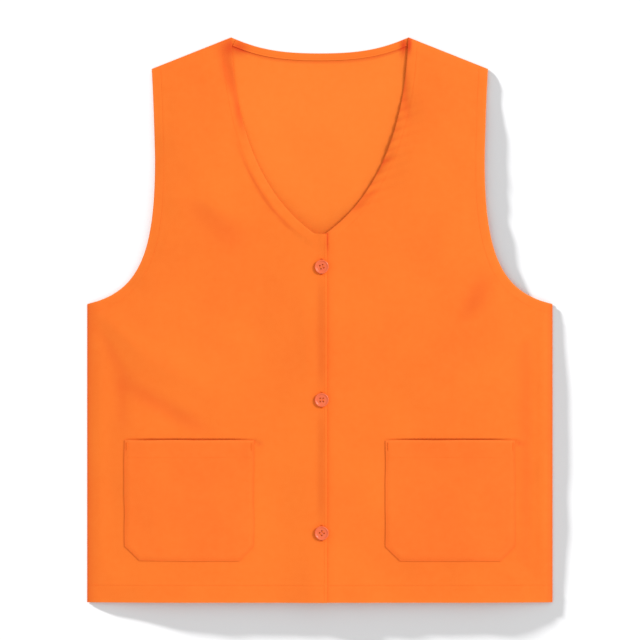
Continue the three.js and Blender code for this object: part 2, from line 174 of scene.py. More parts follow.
def evenly(path, count):
    return at(path, np.linspace(0, distances(path)[-1], count))


def beside(path, offset):
    heading = np.gradient(path, axis=0)
    heading /= np.linalg.norm(heading, axis=1)[:, None]
    return path + offset * np.stack([-heading[:, 1], heading[:, 0]], axis=1)


def from_path(path, x, h):
    points = np.stack([np.ravel(x), np.ravel(h)], axis=1)
    best = np.full(len(points), 1.0)
    for a, b in zip(path[:-1], path[1:]):
        run = b - a
        share = np.clip(((points - a) @ run) / (run @ run), 0, 1)
        best = np.minimum(best, np.linalg.norm(points - a - share[:, None] * run, axis=1))
    return best.reshape(np.shape(x))


SIDE_LINE = np.array([(HALF_CHEST, 0.0), UNDERARM])
SHOULDER_LINE = np.array([NECK_POINT, SHOULDER_POINT])


# ---- How the cloth lies ----
def smooth(value, low, high):
    t = np.clip((value - low) / (high - low), 0, 1)
    return t * t * (3 - 2 * t)


def ease(distance, reach):
    return np.sin(np.pi / 2 * np.clip(distance / reach, 0, 1))


def bell(value, width):
    return np.exp(-((value / width) ** 2))


def ripple(x, h, size, seed):
    points = np.stack([np.ravel(x), np.ravel(h)], axis=1) / size
    values = [noise.noise((a, b, seed)) for a, b in points]
    return np.array(values).reshape(np.shape(x))


def from_shoulder(across, h):
    run = SHOULDER_POINT[0] - NECK_POINT[0]
    drop = NECK_POINT[1] - SHOULDER_POINT[1]
    return ((NECK_POINT[0] - across) * drop + (NECK_POINT[1] - h) * run) / math.hypot(run, drop)


def crease(x, h, start, end, width, lift):
    start, end = np.array(start) * MM, np.array(end) * MM
    run = end - start
    length = np.linalg.norm(run)
    run = run / length
    along = (x - start[0]) * run[0] + (h - start[1]) * run[1]
    aside = (x - start[0]) * -run[1] + (h - start[1]) * run[0]
    fade = smooth(along / length, -0.25, 0.3) * (1 - smooth(along / length, 0.7, 1.25))
    return lift * MM * fade * bell(aside, width * MM)


# Start, end, half width and lift of each soft crease, in millimetres, by side.
RIGHT_CREASES = (
    ((-234, 258), (-132, 200), 10, -0.55),
    ((-226, 306), (-112, 240), 16, 1.3),
    ((-256, 300), (-256, 40), 7, 0.8),
    ((-233, 262), (-229, 205), 7, -0.4),
    ((-168, 336), (-96, 304), 15, 0.9),
    ((-186, 560), (-112, 470), 18, 0.9),
    ((-150, 470), (-92, 420), 16, -0.45),
    ((-112, 640), (-92, 560), 7, -1.4),
    ((-104, 604), (-84, 516), 8, 1.2),
    ((-76, 500), (-50, 452), 6, 0.9),
    ((-20, 360), (-12, 268), 9, 0.5),
    ((-215, 400), (-190, 500), 9, 0.8),
    ((-120, 40), (-40, 26), 12, 0.6),
    ((-200, 150), (-196, 40), 14, 0.5),
    ((-77, 190), (-67, 183), 2.4, -0.7),
    ((-262, 340), (-212, 300), 9, 0.9),
    ((-262, 325), (-225, 262), 8, -0.5),
)
LEFT_CREASES = (
    ((263, 335), (262, 30), 10, 2.2),
    ((242, 320), (242, 50), 11, -0.45),
    ((66, 516), (98, 552), 4.5, 1.0),
    ((58, 496), (84, 524), 4.5, -0.9),
    ((50, 476), (80, 506), 4.5, 1.0),
    ((40, 458), (66, 486), 4.5, -0.7),
    ((110, 600), (150, 540), 16, 0.9),
    ((92, 636), (104, 566), 6, -1.0),
    ((170, 330), (116, 246), 17, 0.9),
    ((196, 380), (150, 300), 12, -0.6),
    ((205, 400), (190, 500), 9, 0.7),
    ((210, 44), (240, 18), 12, 0.9),
    ((60, 60), (130, 40), 13, 0.5),
    ((227, 190), (237, 183), 2.4, -0.7),
    ((258, 338), (205, 292), 9, 0.8),
)


# Where a front ends at the middle of the body, measured outwards on its own side.
def edge_of_front(side):
    return -OVERLAP_EDGE if side < 0 else UNDERLAP_EDGE


def fold_x(h):
    return FOLD_START.x + FOLD_RUN.x / FOLD_RUN.y * h


def creases(side, x, h):
    listed = RIGHT_CREASES if side < 0 else LEFT_CREASES
    return sum(crease(x, h, *one) for one in listed)


# Middle of the front cloth over the floor; side is 1 for the left front and -1 for the right.
def front_level(side, x, h, fine=True):
    x, h = np.asarray(x, float), np.asarray(h, float)
    across = side * x
    body = np.abs(across)
    swell = ease(HALF_CHEST - body, SIDE_EASE) * ease(from_shoulder(body, h), SHOULDER_EASE)
    by_neck = np.exp(-from_path(NECKLINE, across, h) / (34 * MM)) * smooth(h, 0.425, 0.48)
    if side < 0:
        by_neck = by_neck * (0.95 + 0.3 * smooth(h, 0.5, 0.57))
    else:
        by_neck = by_neck * (0.85 + 0.25 * smooth(h, 0.49, 0.56) - 0.2 * smooth(h, 0.6, 0.63))
    by_arm = np.exp(-from_path(ARMHOLE, across, h) / (26 * MM))
    sunk = np.clip(NECK_SINK * by_neck + ARM_SINK * by_arm, 0, 0.8)
    z = SEAM_LEVEL + BODY_SPACE * swell * (1 - sunk)
    if side < 0:
        z = z + OVERLAP_RISE * smooth(fold_x(h) - across, 0, fold_x(h) - 4 * MM)
    else:
        z = z + UNDERLAP_RISE * (1 - smooth(across, OVERLAP_EDGE, OVERLAP_EDGE + 26 * MM))
    seam = np.minimum(from_path(SIDE_LINE, across, h), from_path(SHOULDER_LINE, across, h))
    z = z - 1.35 * MM * np.exp(-seam / (2.4 * MM)) + 0.25 * MM * bell(seam - 11 * MM, 4 * MM)
    loose = smooth(seam, 4 * MM, 30 * MM)
    calm = 1 - 0.6 * (1 - smooth(body, 30 * MM, 70 * MM))
    z = z + 2.2 * MM * loose * calm * ripple(x, h, 0.085, 3.0)
    z = z + 0.8 * MM * loose * calm * ripple(x, h, 0.032, 9.0)
    z = z + smooth(seam, 1.5 * MM, 12 * MM) * creases(side, x, h)
    if fine:
        z = z + front_edges(side, across, h)
    return z


def on_low_neckline(h):
    return smooth(h, 0.445, 0.475) * (1 - smooth(h, 0.57, 0.61))


# Ridges of 1 and valleys of -1 where the binding draws the neckline into puckers.
def pucker_wave(across, h):
    return np.sin((h - across * 0.35) / (1.7 * MM))


# The small relief along a front's edges, stitch lines and buttons.
def front_edges(side, across, h):
    neck = from_path(NECKLINE, across, h)
    arm = from_path(ARMHOLE, across, h)
    front = np.abs(across - edge_of_front(side))
    open_edge = np.where(h < NECK_FOOT[1] + MM, front, 1.0)
    top = np.where(across < NECK_FOOT[0], np.abs(NECK_FOOT[1] - OVERLAP_STEP - h), 1.0)
    lower = 1 - smooth(h, 0.49, 0.56) if side < 0 else 1.0
    lift = (0.85 if side < 0 else 0.35) * MM * lower
    z = lift * (1 - smooth(neck, 11.2 * MM, 14 * MM))
    z = z + 0.12 * MM * (1 - smooth(arm, 11.5 * MM, 14 * MM))
    z = z + 0.14 * MM * (1 - smooth(h, 21 * MM, 23.5 * MM))
    z = z - 0.26 * MM * lower * bell(neck - EDGE_STITCH, 0.9 * MM)
    z = z - 0.16 * MM * bell(arm - EDGE_STITCH, 0.9 * MM)
    z = z - 0.16 * MM * bell(h - HEM_STITCH, 0.9 * MM)
    pucker = pucker_wave(across, h) * np.exp(-neck / PUCKER_REACH) * on_low_neckline(h)
    z = z + (0.75 if side > 0 else 0.15) * MM * pucker
    seam_pull = np.sin(h / (4.2 * MM) + 2 * np.sin(h / (31 * MM))) * bell(arm - 8 * MM, 7 * MM)
    z = z + 0.1 * MM * seam_pull + 0.09 * MM * np.sin(across / (4.6 * MM)) * bell(h - 12 * MM, 9 * MM)
    if side < 0:
        at_button = sum(bell(h - rise, 22 * MM) for rise in BUTTON_RISES)
        gape = np.clip(1 - at_button, 0, 1) * smooth(h, 0.04, 0.09)
        z = z + 1.7 * MM * gape * (1 - smooth(across + OVERLAP_EDGE, 1 * MM, 13 * MM))
        for rise in BUTTON_RISES:
            reach = np.hypot(across + BUTTON_X, (h - rise) * 0.8)
            z = z - 0.2 * MM * bell(reach, 9 * MM)
        z = z - 0.1 * MM * bell(front - 3 * MM, 0.8 * MM)
    mouth = smooth(across, POCKET_INNER + MM, POCKET_INNER + 34 * MM)
    mouth = mouth * (1 - smooth(across, POCKET_OUTER - 34 * MM, POCKET_OUTER - MM))
    above = h - POCKET_MOUTH
    sunk = (1 - smooth(above, 0.3 * MM, 2.3 * MM)) * smooth(above, -22 * MM, -3 * MM)
    dip = (0.35 + 1.7 * mouth) * MM * sunk * smooth(across, POCKET_INNER - MM, POCKET_INNER + 3 * MM)
    z = z - dip * (1 - smooth(across, POCKET_OUTER - 3 * MM, POCKET_OUTER + MM))
    z = z - 0.3 * MM * np.exp(-np.minimum(arm, h) / (0.6 * MM))
    z = z - 0.12 * MM * np.exp(-np.minimum.reduce([neck, open_edge, top]) / (0.6 * MM))
    return z


POCKET_EDGE = np.array([
    (POCKET_INNER, POCKET_MOUTH),
    (POCKET_INNER, POCKET_FOOT + CUT_CORNER),
    (POCKET_INNER + CUT_CORNER, POCKET_FOOT),
    (POCKET_OUTER - CUT_CORNER, POCKET_FOOT),
    (POCKET_OUTER, POCKET_FOOT + CUT_CORNER),
    (POCKET_OUTER, POCKET_MOUTH),
])
TURNED_IN = 8 * MM


def loose_middle(edge):
    return smooth(edge, 4 * MM, 26 * MM)


# Middle of a pocket's cloth over the floor.
def pocket_level(side, x, h):
    across = side * np.asarray(x, float)
    share = np.clip((across - POCKET_INNER) / (POCKET_OUTER - POCKET_INNER), 0, 1)
    up = np.clip((h - POCKET_FOOT) / (POCKET_MOUTH - POCKET_FOOT), 0, 1)
    edge = from_path(POCKET_EDGE, across, h)
    z = front_level(side, x, h, fine=False) + 0.62 * MM + 0.5 * MM * smooth(edge, 0.6 * MM, 4.5 * MM)
    from_left = across - POCKET_INNER if side > 0 else POCKET_OUTER - across
    proud = np.exp(-from_left / (16 * MM)) + 0.8 * np.exp(-(h - POCKET_FOOT) / (14 * MM))
    z = z + 0.4 * MM * np.clip(proud, 0, 1)
    z = z + 1.1 * MM * np.sin(np.pi * share) ** 1.3 * up ** 5
    z = z + 0.7 * MM * loose_middle(edge) * ripple(x, h, 0.045, 21.0 + side)
    z = z + 0.25 * MM * loose_middle(edge) * ripple(x, h, 0.016, 27.0 + side)
    z = z + 0.2 * MM * (1 - smooth(edge, TURNED_IN - MM, TURNED_IN + 1.5 * MM))
    z = z - 0.2 * MM * bell(edge - POCKET_STITCH, 0.8 * MM)
    z = z - 0.14 * MM * bell(POCKET_MOUTH - h - HEM_STITCH, 0.9 * MM)
    z = z - 0.12 * MM * np.exp(-edge / (0.6 * MM))
    z = z - 0.15 * MM * np.exp(-np.maximum(POCKET_MOUTH - h, 0) / (0.5 * MM))
    return z


# Middle of the back's cloth over the floor: it rises a little where the neckline shows it.
def back_level(x, h):
    across = np.abs(np.asarray(x, float))
    h = np.asarray(h, float)
    inside = smooth(h, 0.30, 0.43) * (1 - smooth(across, 0.10, 0.18))
    wave = 2.0 * MM + 0.7 * MM * ripple(x, h, 0.06, 31.0) + 0.3 * MM * ripple(x, h, 0.025, 35.0)
    return BACK_LEVEL + inside * wave * (1 - smooth(h, 0.56, 0.64))


# ---- Making pieces ----
def deselect():
    bpy.ops.object.select_all(action="DESELECT")


def make_active(piece):
    deselect()
    piece.select_set(True)
    bpy.context.view_layer.objects.active = piece


def finish_piece(piece, material, angle=50):
    make_active(piece)
    bpy.ops.object.shade_smooth_by_angle(angle=math.radians(angle))
    piece.data.materials.clear()
    piece.data.materials.append(material)
    deselect()
    return piece


def new_mesh(name, vertices, faces):
    mesh = bpy.data.meshes.new(name)
    mesh.from_pydata(vertices, [], faces)
    mesh.update()
    piece = bpy.data.objects.new(name, mesh)
    bpy.context.scene.collection.objects.link(piece)
    return piece


# Lays a grid of cloth and gives it its thickness. The UV map is the flat cut, in metres.
def lay_cloth(name, x, h, z, thickness, rim=None, cut=None, shade=None):
    rows, columns = x.shape
    points = np.stack([x, h + HEM, z], axis=-1).reshape(-1, 3)
    first = np.arange(rows - 1)[:, None] * columns + np.arange(columns - 1)[None, :]
    if cut is not None:
        first = first[~cut]
    first = first.ravel()
    faces = np.stack([first, first + 1, first + columns + 1, first + columns], axis=1)
    middle = faces[len(faces) // 2]
    a, b, d = points[middle[0]], points[middle[1]], points[middle[3]]
    if np.cross(b - a, d - a)[2] < 0:
        faces = faces[:, ::-1]
    used = np.unique(faces)
    place = np.zeros(len(points), int)
    place[used] = np.arange(len(used))
    piece = new_mesh(name, points[used].tolist(), place[faces].tolist())
    flat = piece.data.uv_layers.new(name="flat_cut")
    corners = np.zeros(len(piece.data.loops), int)
    piece.data.loops.foreach_get("vertex_index", corners)
    flat.data.foreach_set("uv", points[used][corners][:, :2].astype(np.float32).ravel())
    # turned_edge carries edge wear; the second attribute carries painted shade.
    for label, values in (("turned_edge", rim), ("painted_shade", shade)):
        values = np.zeros(x.shape) if values is None else values
        layer = piece.data.attributes.new(label, "FLOAT", "POINT")
        layer.data.foreach_set("value", values.ravel()[used].astype(np.float32))
    wall = piece.modifiers.new("thickness", "SOLIDIFY")
    wall.thickness = thickness
    wall.offset = 0.0
    make_active(piece)
    bpy.ops.object.modifier_apply(modifier=wall.name)
    return piece


def between(inner, outer, shares):
    return inner[:, None, :] * (1 - shares)[None, :, None] + outer[:, None, :] * shares[None, :, None]


def cut_area(x, h):
    outline = np.concatenate([
        np.stack([x[0], h[0]], axis=1),
        np.stack([x[1:, -1], h[1:, -1]], axis=1),
        np.stack([x[-1, -2::-1], h[-1, -2::-1]], axis=1),
        np.stack([x[-2:0:-1, 0], h[-2:0:-1, 0]], axis=1),
    ])
    a, b = outline, np.roll(outline, -1, axis=0)
    return abs(np.sum(a[:, 0] * b[:, 1] - b[:, 0] * a[:, 1])) / 2


# A strip between two edges, on the wearer's left half or mirrored; level gives its height, and deep, when
# given, its painted shade.
def strip(
    name, side, inner, outer, level, thickness, rows, columns, material, deep=None
):
    grid = between(evenly(inner, rows), evenly(outer, rows), np.linspace(0, 1, columns))
    x, h = side * grid[..., 0], grid[..., 1]
    shade = None if deep is None else deep(x, h)
    piece = lay_cloth(name, x, h, level(x, h), thickness, shade=shade)
    finish_piece(piece, material)
    return piece


# ---- Shared effects for the materials ----
def new_group(name, inputs, outputs):
    group = bpy.data.node_groups.new(name, "ShaderNodeTree")
    for label, kind, value in inputs:
        made = group.interface.new_socket(label, in_out="INPUT", socket_type=kind)
        if value is not None:
            made.default_value = value
    for label, kind in outputs:
        group.interface.new_socket(label, in_out="OUTPUT", socket_type=kind)
    start = group.nodes.new("NodeGroupInput")
    end = group.nodes.new("NodeGroupOutput")
    return group, start, end


def maths(tree, operation, a, b=None, c=None):
    node = tree.nodes.new("ShaderNodeMath")
    node.operation = operation
    for socket, value in zip(node.inputs, (a, b, c)):
        if value is None:
            continue
        if isinstance(value, (int, float)):
            socket.default_value = value
        else:
            tree.links.new(value, socket)
    return node.outputs[0]


def noise_field(tree, vector, scale, detail=2.0, roughness=0.5):
    node = tree.nodes.new("ShaderNodeTexNoise")
    node.inputs["Scale"].default_value = scale
    node.inputs["Detail"].default_value = detail
    node.inputs["Roughness"].default_value = roughness
    tree.links.new(vector, node.inputs["Vector"])
    return node.outputs["Fac"]


def stretched(tree, vector, scale):
    node = tree.nodes.new("ShaderNodeMapping")
    node.inputs["Scale"].default_value = scale
    tree.links.new(vector, node.inputs["Vector"])
    return node.outputs["Vector"]


THREAD_COUNT = 2200.0  # threads in a metre of the cloth, each way


# Plain weave: warp and weft threads that pass over and under each other.
def plain_weave_group():
    group, start, end = new_group(
        "plain_weave",
        (("Cut", "NodeSocketVector", None), ("Threads per metre", "NodeSocketFloat", THREAD_COUNT)),
        (("Height", "NodeSocketFloat"), ("Shade", "NodeSocketFloat")),
    )
    parts = group.nodes.new("ShaderNodeSeparateXYZ")
    group.links.new(start.outputs["Cut"], parts.inputs[0])
    wobble = noise_field(group, start.outputs["Cut"], 900.0, 1.0)
    turns = maths(group, "MULTIPLY", start.outputs["Threads per metre"], math.pi)
    warp = maths(group, "MULTIPLY", parts.outputs["X"], turns)
    weft = maths(group, "MULTIPLY", parts.outputs["Y"], turns)
    warp = maths(group, "ADD", warp, wobble)
    weft = maths(group, "ADD", weft, wobble)
    warp_wave, weft_wave = maths(group, "SINE", warp), maths(group, "SINE", weft)
    over = maths(group, "MULTIPLY", warp_wave, weft_wave)
    ridge = maths(group, "MULTIPLY", maths(group, "ABSOLUTE", warp_wave), 0.35)
    height = maths(group, "ADD", maths(group, "MULTIPLY_ADD", over, 0.32, 0.33), ridge)
    group.links.new(height, end.inputs["Height"])
    slub = noise_field(group, stretched(group, start.outputs["Cut"], (1400.0, 38.0, 1.0)), 1.0, 2.0)
    pick = noise_field(group, stretched(group, start.outputs["Cut"], (38.0, 1400.0, 1.0)), 1.0, 2.0)
    streak = maths(group, "ADD", slub, pick)
    # Shade: painted shade, darker where a thread dips under, plus real slub and pick streaks.
    shade = maths(group, "MULTIPLY_ADD", height, 0.5, maths(group, "MULTIPLY", streak, 0.5))
    group.links.new(shade, end.inputs["Shade"])
    return group


# Slow change of the dye over the cloth, and a finer mottling.
def dye_group():
    group, start, end = new_group(
        "dye_variation",
        (("Cut", "NodeSocketVector", None),),
        (("Drift", "NodeSocketFloat"), ("Mottle", "NodeSocketFloat")),
    )
    group.links.new(noise_field(group, start.outputs["Cut"], 9.0, 3.0), end.inputs["Drift"])
    group.links.new(noise_field(group, start.outputs["Cut"], 120.0, 4.0), end.inputs["Mottle"])
    return group


# Lint and rubbing: a little paler along turned edges.
def rub_group():
    group, start, end = new_group(
        "edge_rub",
        (("Cut", "NodeSocketVector", None), ("Edge", "NodeSocketFloat", 0.0)),
        (("Mask", "NodeSocketFloat"),),
    )
    patchy = noise_field(group, start.outputs["Cut"], 260.0, 3.0)
    spread = maths(group, "MULTIPLY", patchy, start.outputs["Edge"])
    group.links.new(maths(group, "MULTIPLY", spread, 1.3), end.inputs["Mask"])
    return group


PLAIN_WEAVE = plain_weave_group()
DYE = dye_group()
RUB = rub_group()


def linear(red, green, blue):
    channels = (c / 255 for c in (red, green, blue))
    return tuple(c / 12.92 if c <= 0.04045 else ((c + 0.055) / 1.055) ** 2.4 for c in channels)


def start_material(name, colour, roughness):
    material = bpy.data.materials.new(name)
    material.use_nodes = True
    material.diffuse_color = (*colour, 1.0)
    tree = material.node_tree
    shader = tree.nodes["Principled BSDF"]
    shader.inputs["Roughness"].default_value = roughness
    return material, tree, shader


def mixed(tree, mask, first, second):
    node = tree.nodes.new("ShaderNodeMix")
    node.data_type = "RGBA"
    tree.links.new(mask, node.inputs["Factor"])
    for label, value in (("A", first), ("B", second)):
        socket = next(s for s in node.inputs if s.name == label and s.type == "RGBA")
        if isinstance(value, tuple):
            socket.default_value = (*value, 1.0)
        else:
            tree.links.new(value, socket)
    return next(s for s in node.outputs if s.type == "RGBA")


def use_group(tree, group, **links):
    node = tree.nodes.new("ShaderNodeGroup")
    node.node_tree = group
    for label, value in links.items():
        socket = node.inputs[label.replace("_", " ")]
        if isinstance(value, (int, float)):
            socket.default_value = value
        else:
            tree.links.new(value, socket)
    return node


def relief(tree, shader, height, strength, depth):
    bump = tree.nodes.new("ShaderNodeBump")
    bump.inputs["Strength"].default_value = strength
    bump.inputs["Distance"].default_value = depth
    tree.links.new(height, bump.inputs["Height"])
    tree.links.new(bump.outputs["Normal"], shader.inputs["Normal"])


PAINTED_SHADE_COLOUR = linear(226, 66, 16)  # painted shade: the deep red-orange of shade in creases, hollows and along edges


# The vest's cloth: its dye drifts between two shades, and turned edges are rubbed paler. Painted shade
# darkens the weave's low points, and a painted-shade attribute darkens creases, hollows and edges.
def woven_cloth(name, colour, deep, pale):
    material, tree, shader = start_material(name, colour, 0.86)
    cut = tree.nodes.new("ShaderNodeUVMap")
    cut.uv_map = "flat_cut"
    weave = use_group(tree, PLAIN_WEAVE, Cut=cut.outputs["UV"], Threads_per_metre=THREAD_COUNT)
    dye = use_group(tree, DYE, Cut=cut.outputs["UV"])
    edge = tree.nodes.new("ShaderNodeAttribute")
    edge.attribute_name = "turned_edge"
    rub = use_group(tree, RUB, Cut=cut.outputs["UV"], Edge=edge.outputs["Fac"])
    drift = maths(tree, "MULTIPLY_ADD", dye.outputs["Drift"], 1.5, -0.25)
    drift = maths(tree, "SMOOTH_MAX", drift, 0.0, 0.1)
    base = mixed(tree, drift, colour, deep)
    # Painted shade where the weave's threads dip under, mixed with real slub and pick streaks.
    weave_shade_and_slubs = maths(tree, "MULTIPLY_ADD", weave.outputs["Shade"], -0.34, 0.34)
    base = mixed(tree, weave_shade_and_slubs, base, deep)
    specks = maths(tree, "MULTIPLY_ADD", dye.outputs["Mottle"], 0.3, -0.08)
    base = mixed(tree, specks, base, pale)
    base = mixed(tree, rub.outputs["Mask"], base, pale)
    # Painted shade: a mask per point darkens the cloth towards the shade colour in creases, hollows and
    # along edges.
    fold = tree.nodes.new("ShaderNodeAttribute")
    fold.attribute_name = "painted_shade"
    base = mixed(tree, fold.outputs["Fac"], base, PAINTED_SHADE_COLOUR)
    tree.links.new(base, shader.inputs["Base Color"])
    rough = maths(tree, "MULTIPLY_ADD", weave.outputs["Shade"], -0.12, 0.92)
    tree.links.new(rough, shader.inputs["Roughness"])
    shader.inputs["Sheen Weight"].default_value = 0.12
    shader.inputs["Sheen Roughness"].default_value = 0.45
    shader.inputs["Sheen Tint"].default_value = (1.0, 0.55, 0.3, 1.0)
    shader.inputs["Specular IOR Level"].default_value = 0.25
    relief(tree, shader, weave.outputs["Height"], 0.45, 0.12 * MM)
    return material


BODY_CLOTH = woven_cloth(
    "blaze_orange_cloth", linear(252, 125, 37), linear(247, 113, 32), linear(255, 140, 56)
)
INSIDE_CLOTH = woven_cloth(
    "orange_cloth_inside", linear(252, 130, 42), linear(249, 121, 36), linear(255, 144, 60)
)
POCKET_CLOTH = woven_cloth(
    "orange_pocket_cloth", linear(253, 122, 37), linear(248, 109, 32), linear(255, 138, 56)
)


def sewing_thread():
    material, tree, shader = start_material("orange_sewing_thread", linear(249, 117, 32), 0.6)
    place = tree.nodes.new("ShaderNodeTexCoord")
    fibres = noise_field(tree, place.outputs["Object"], 5200.0, 3.0)
    base = mixed(tree, fibres, linear(244, 106, 26), linear(254, 128, 38))
    tree.links.new(base, shader.inputs["Base Color"])
    shader.inputs["Specular IOR Level"].default_value = 0.2
    relief(tree, shader, fibres, 0.4, 0.06 * MM)
    return material


def stiffening_felt():
    material, tree, shader = start_material("white_stiffening", linear(243, 237, 226), 0.95)
    place = tree.nodes.new("ShaderNodeTexCoord")
    fibres = noise_field(tree, stretched(tree, place.outputs["Object"], (2600.0, 700.0, 700.0)), 1.0, 4.0)
    base = mixed(tree, fibres, linear(228, 220, 206), linear(250, 246, 238))
    tree.links.new(base, shader.inputs["Base Color"])
    relief(tree, shader, fibres, 0.5, 0.1 * MM)
    return material


def coral_resin():
    material, tree, shader = start_material("coral_button_resin", linear(240, 102, 52), 0.34)
    place = tree.nodes.new("ShaderNodeTexCoord")
    cloud = noise_field(tree, place.outputs["Object"], 210.0, 4.0, 0.6)
    grit = noise_field(tree, place.outputs["Object"], 2400.0, 2.0)
    base = mixed(tree, cloud, linear(230, 84, 40), linear(250, 122, 66))
    tree.links.new(base, shader.inputs["Base Color"])
    rough = maths(tree, "MULTIPLY_ADD", grit, 0.22, 0.24)
    tree.links.new(rough, shader.inputs["Roughness"])
    shader.inputs["Coat Weight"].default_value = 0.25
    shader.inputs["Coat Roughness"].default_value = 0.2
    relief(tree, shader, grit, 0.12, 0.04 * MM)
    return material


THREAD = sewing_thread()
FELT = stiffening_felt()
RESIN = coral_resin()


# ---- Back ----
def back_rows():
    side = evenly(SIDE_LINE, 96)
    arm = evenly(ARMHOLE, 96)
    return np.concatenate([side, arm[1:]])


# Places across a piece as shares of its width, close together along both edges.
def near_edges(length, step):
    last = EDGE_STEPS[-1]
    middle = np.linspace(last, length - last, max(2, round((length - 2 * last) / step)))
    return np.concatenate([EDGE_STEPS[:-1], middle, (length - EDGE_STEPS[:-1])[::-1]]) / length


# Painted shade in the crevices where the neckline's ends are gathered at the shoulder seams.
def neck_corner_shade(x, h):
    right = 0.75 * bell(x + 95 * MM, 11 * MM) * bell(h - 648 * MM, 8 * MM)
    left = 0.95 * bell(x - 98 * MM, 4.5 * MM) * bell(h - 650 * MM, 10 * MM)
    return right + left


def make_back():
    outer = back_rows()
    shares = near_edges(2 * HALF_CHEST, 4 * MM)
    top_x = (2 * shares - 1) * SHOULDER_POINT[0]
    shoulder = np.interp(np.abs(top_x), *SHOULDER_LINE.T)
    neck = np.interp(np.abs(top_x), BACK_NECK[::-1, 0], BACK_NECK[::-1, 1])
    top = np.where(np.abs(top_x) > NECK_POINT[0], shoulder, neck)
    x = (2 * shares - 1)[None, :] * outer[:, :1]
    climb = smooth(outer[:, 1:], 0.42, SHOULDER_POINT[1])
    h = outer[:, 1:] + climb * (top - SHOULDER_POINT[1])[None, :]
    z = back_level(x, h)
    edge = from_path(np.concatenate([SIDE_LINE, ARMHOLE[1:]]), np.abs(x), h)
    neck_edge = from_path(BACK_NECK, np.abs(x), h)
    rim = np.exp(-np.minimum.reduce([edge, neck_edge, h]) / (1.2 * MM))
    z = z + 0.15 * MM * (1 - smooth(neck_edge, 9 * MM, 12 * MM))
    # Painted shade at the neckline's corners and a painted shadow under the neck band's lower edge.
    shade = neck_corner_shade(x, h) + 0.45 * bell(neck_edge - BAND_WIDTH - 0.8 * MM, 1.2 * MM)
    shade = np.clip(shade, 0, 0.95)
    piece = lay_cloth("back_cloth", x, h, np.maximum(z, CLOTH / 2), CLOTH, rim=rim, shade=shade)
    finish_piece(piece, INSIDE_CLOTH)
    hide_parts("back_panel")
    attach(piece, "garment")


# The part of a path that keeps clear of the side seam and the shoulder seam.
def clear_of_seams(path):
    off_side = path[:, 0] < HALF_CHEST - SEAM_CLEAR
    off_shoulder = from_shoulder(path[:, 0], path[:, 1]) > SEAM_CLEAR
    return path[off_side & off_shoulder]


# What is sewn to the back: neck band, hem, armhole bindings and the seams' allowances.
def back_strips():
    def over_back(lift):
        return lambda x, h: back_level(x, h) + lift

    half = beside(BACK_NECK, 0.6 * MM)
    low = beside(BACK_NECK, BAND_WIDTH)
    half, low = half[2:], low[2:]
    both = np.concatenate([half, (half * (-1, 1))[-2::-1]])
    both_low = np.concatenate([low, (low * (-1, 1))[-2::-1]])

    def band_level(x, h):
        edge = from_path(both, x, h)
        low_edge = from_path(both_low, x, h)
        z = back_level(x, h) + 0.8 * MM - 0.15 * MM * bell(edge - BAND_STITCH, 0.8 * MM)
        z = z + 0.5 * MM * np.exp(-low_edge / (2.0 * MM))
        return z - 0.2 * MM * np.exp(-edge / (0.7 * MM))

    # The band gets the same painted shade at the neckline's corners.
    band = strip(
        "back_neck_band_cloth", 1, both, both_low, band_level, LINING,
        110, 12, BODY_CLOTH, deep=neck_corner_shade,
    )
    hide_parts("back_neck_band")
    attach(band, "garment")
    reach = HALF_CHEST - SEAM_CLEAR
    hem = strip(
        "back_hem_turn", 1, np.array([(-reach, 0.9 * MM), (reach, 0.9 * MM)]),
        np.array([(-reach, HEM_DEPTH), (reach, HEM_DEPTH)]), over_back(TURN_LIFT), LINING,
        130, 7, INSIDE_CLOTH,
    )
    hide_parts("back_hem")
    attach(hem, "garment")
    for side, word in SIDE_WORD.items():
        arm = clear_of_seams(beside(ARMHOLE, 1.0 * MM))
        arm_inner = clear_of_seams(beside(ARMHOLE, FACING_WIDTH))
        facing = strip(
            f"{word}_back_armhole_binding", side, arm_inner, arm, over_back(TURN_LIFT), LINING,
            90, 6, INSIDE_CLOTH,
        )
        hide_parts(f"{word}_back_armhole_facing")
        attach(facing, "garment")
        seam = strip(
            f"{word}_side_seam_allowance", side,
            np.array([(HALF_CHEST - 10 * MM, 0.002), (HALF_CHEST - 10 * MM, 0.3485)]),
            np.array([(HALF_CHEST - 1.2 * MM, 0.002), (HALF_CHEST - 1.2 * MM, 0.3478)]),
            lambda x, h: back_level(x, h) + 0.55 * MM + 0.06 * MM * np.sin(h / (3 * MM)), LINING,
            120, 5, INSIDE_CLOTH,
        )
        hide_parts(f"{word}_side_seam")
        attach(seam, "garment")
        upper = at(SHOULDER_LINE, np.array([1.5, 98.0]) * MM)
        lower = beside(SHOULDER_LINE, -10 * MM)
        lower = at(lower, np.array([3.0, 98.0]) * MM)
        seam = strip(
            f"{word}_shoulder_seam_allowance", side, beside(upper, -1.2 * MM), lower,
            over_back(TURN_LIFT), LINING,
            30, 5, INSIDE_CLOTH,
        )
        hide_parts(f"{word}_shoulder_seam")
        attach(seam, "garment")


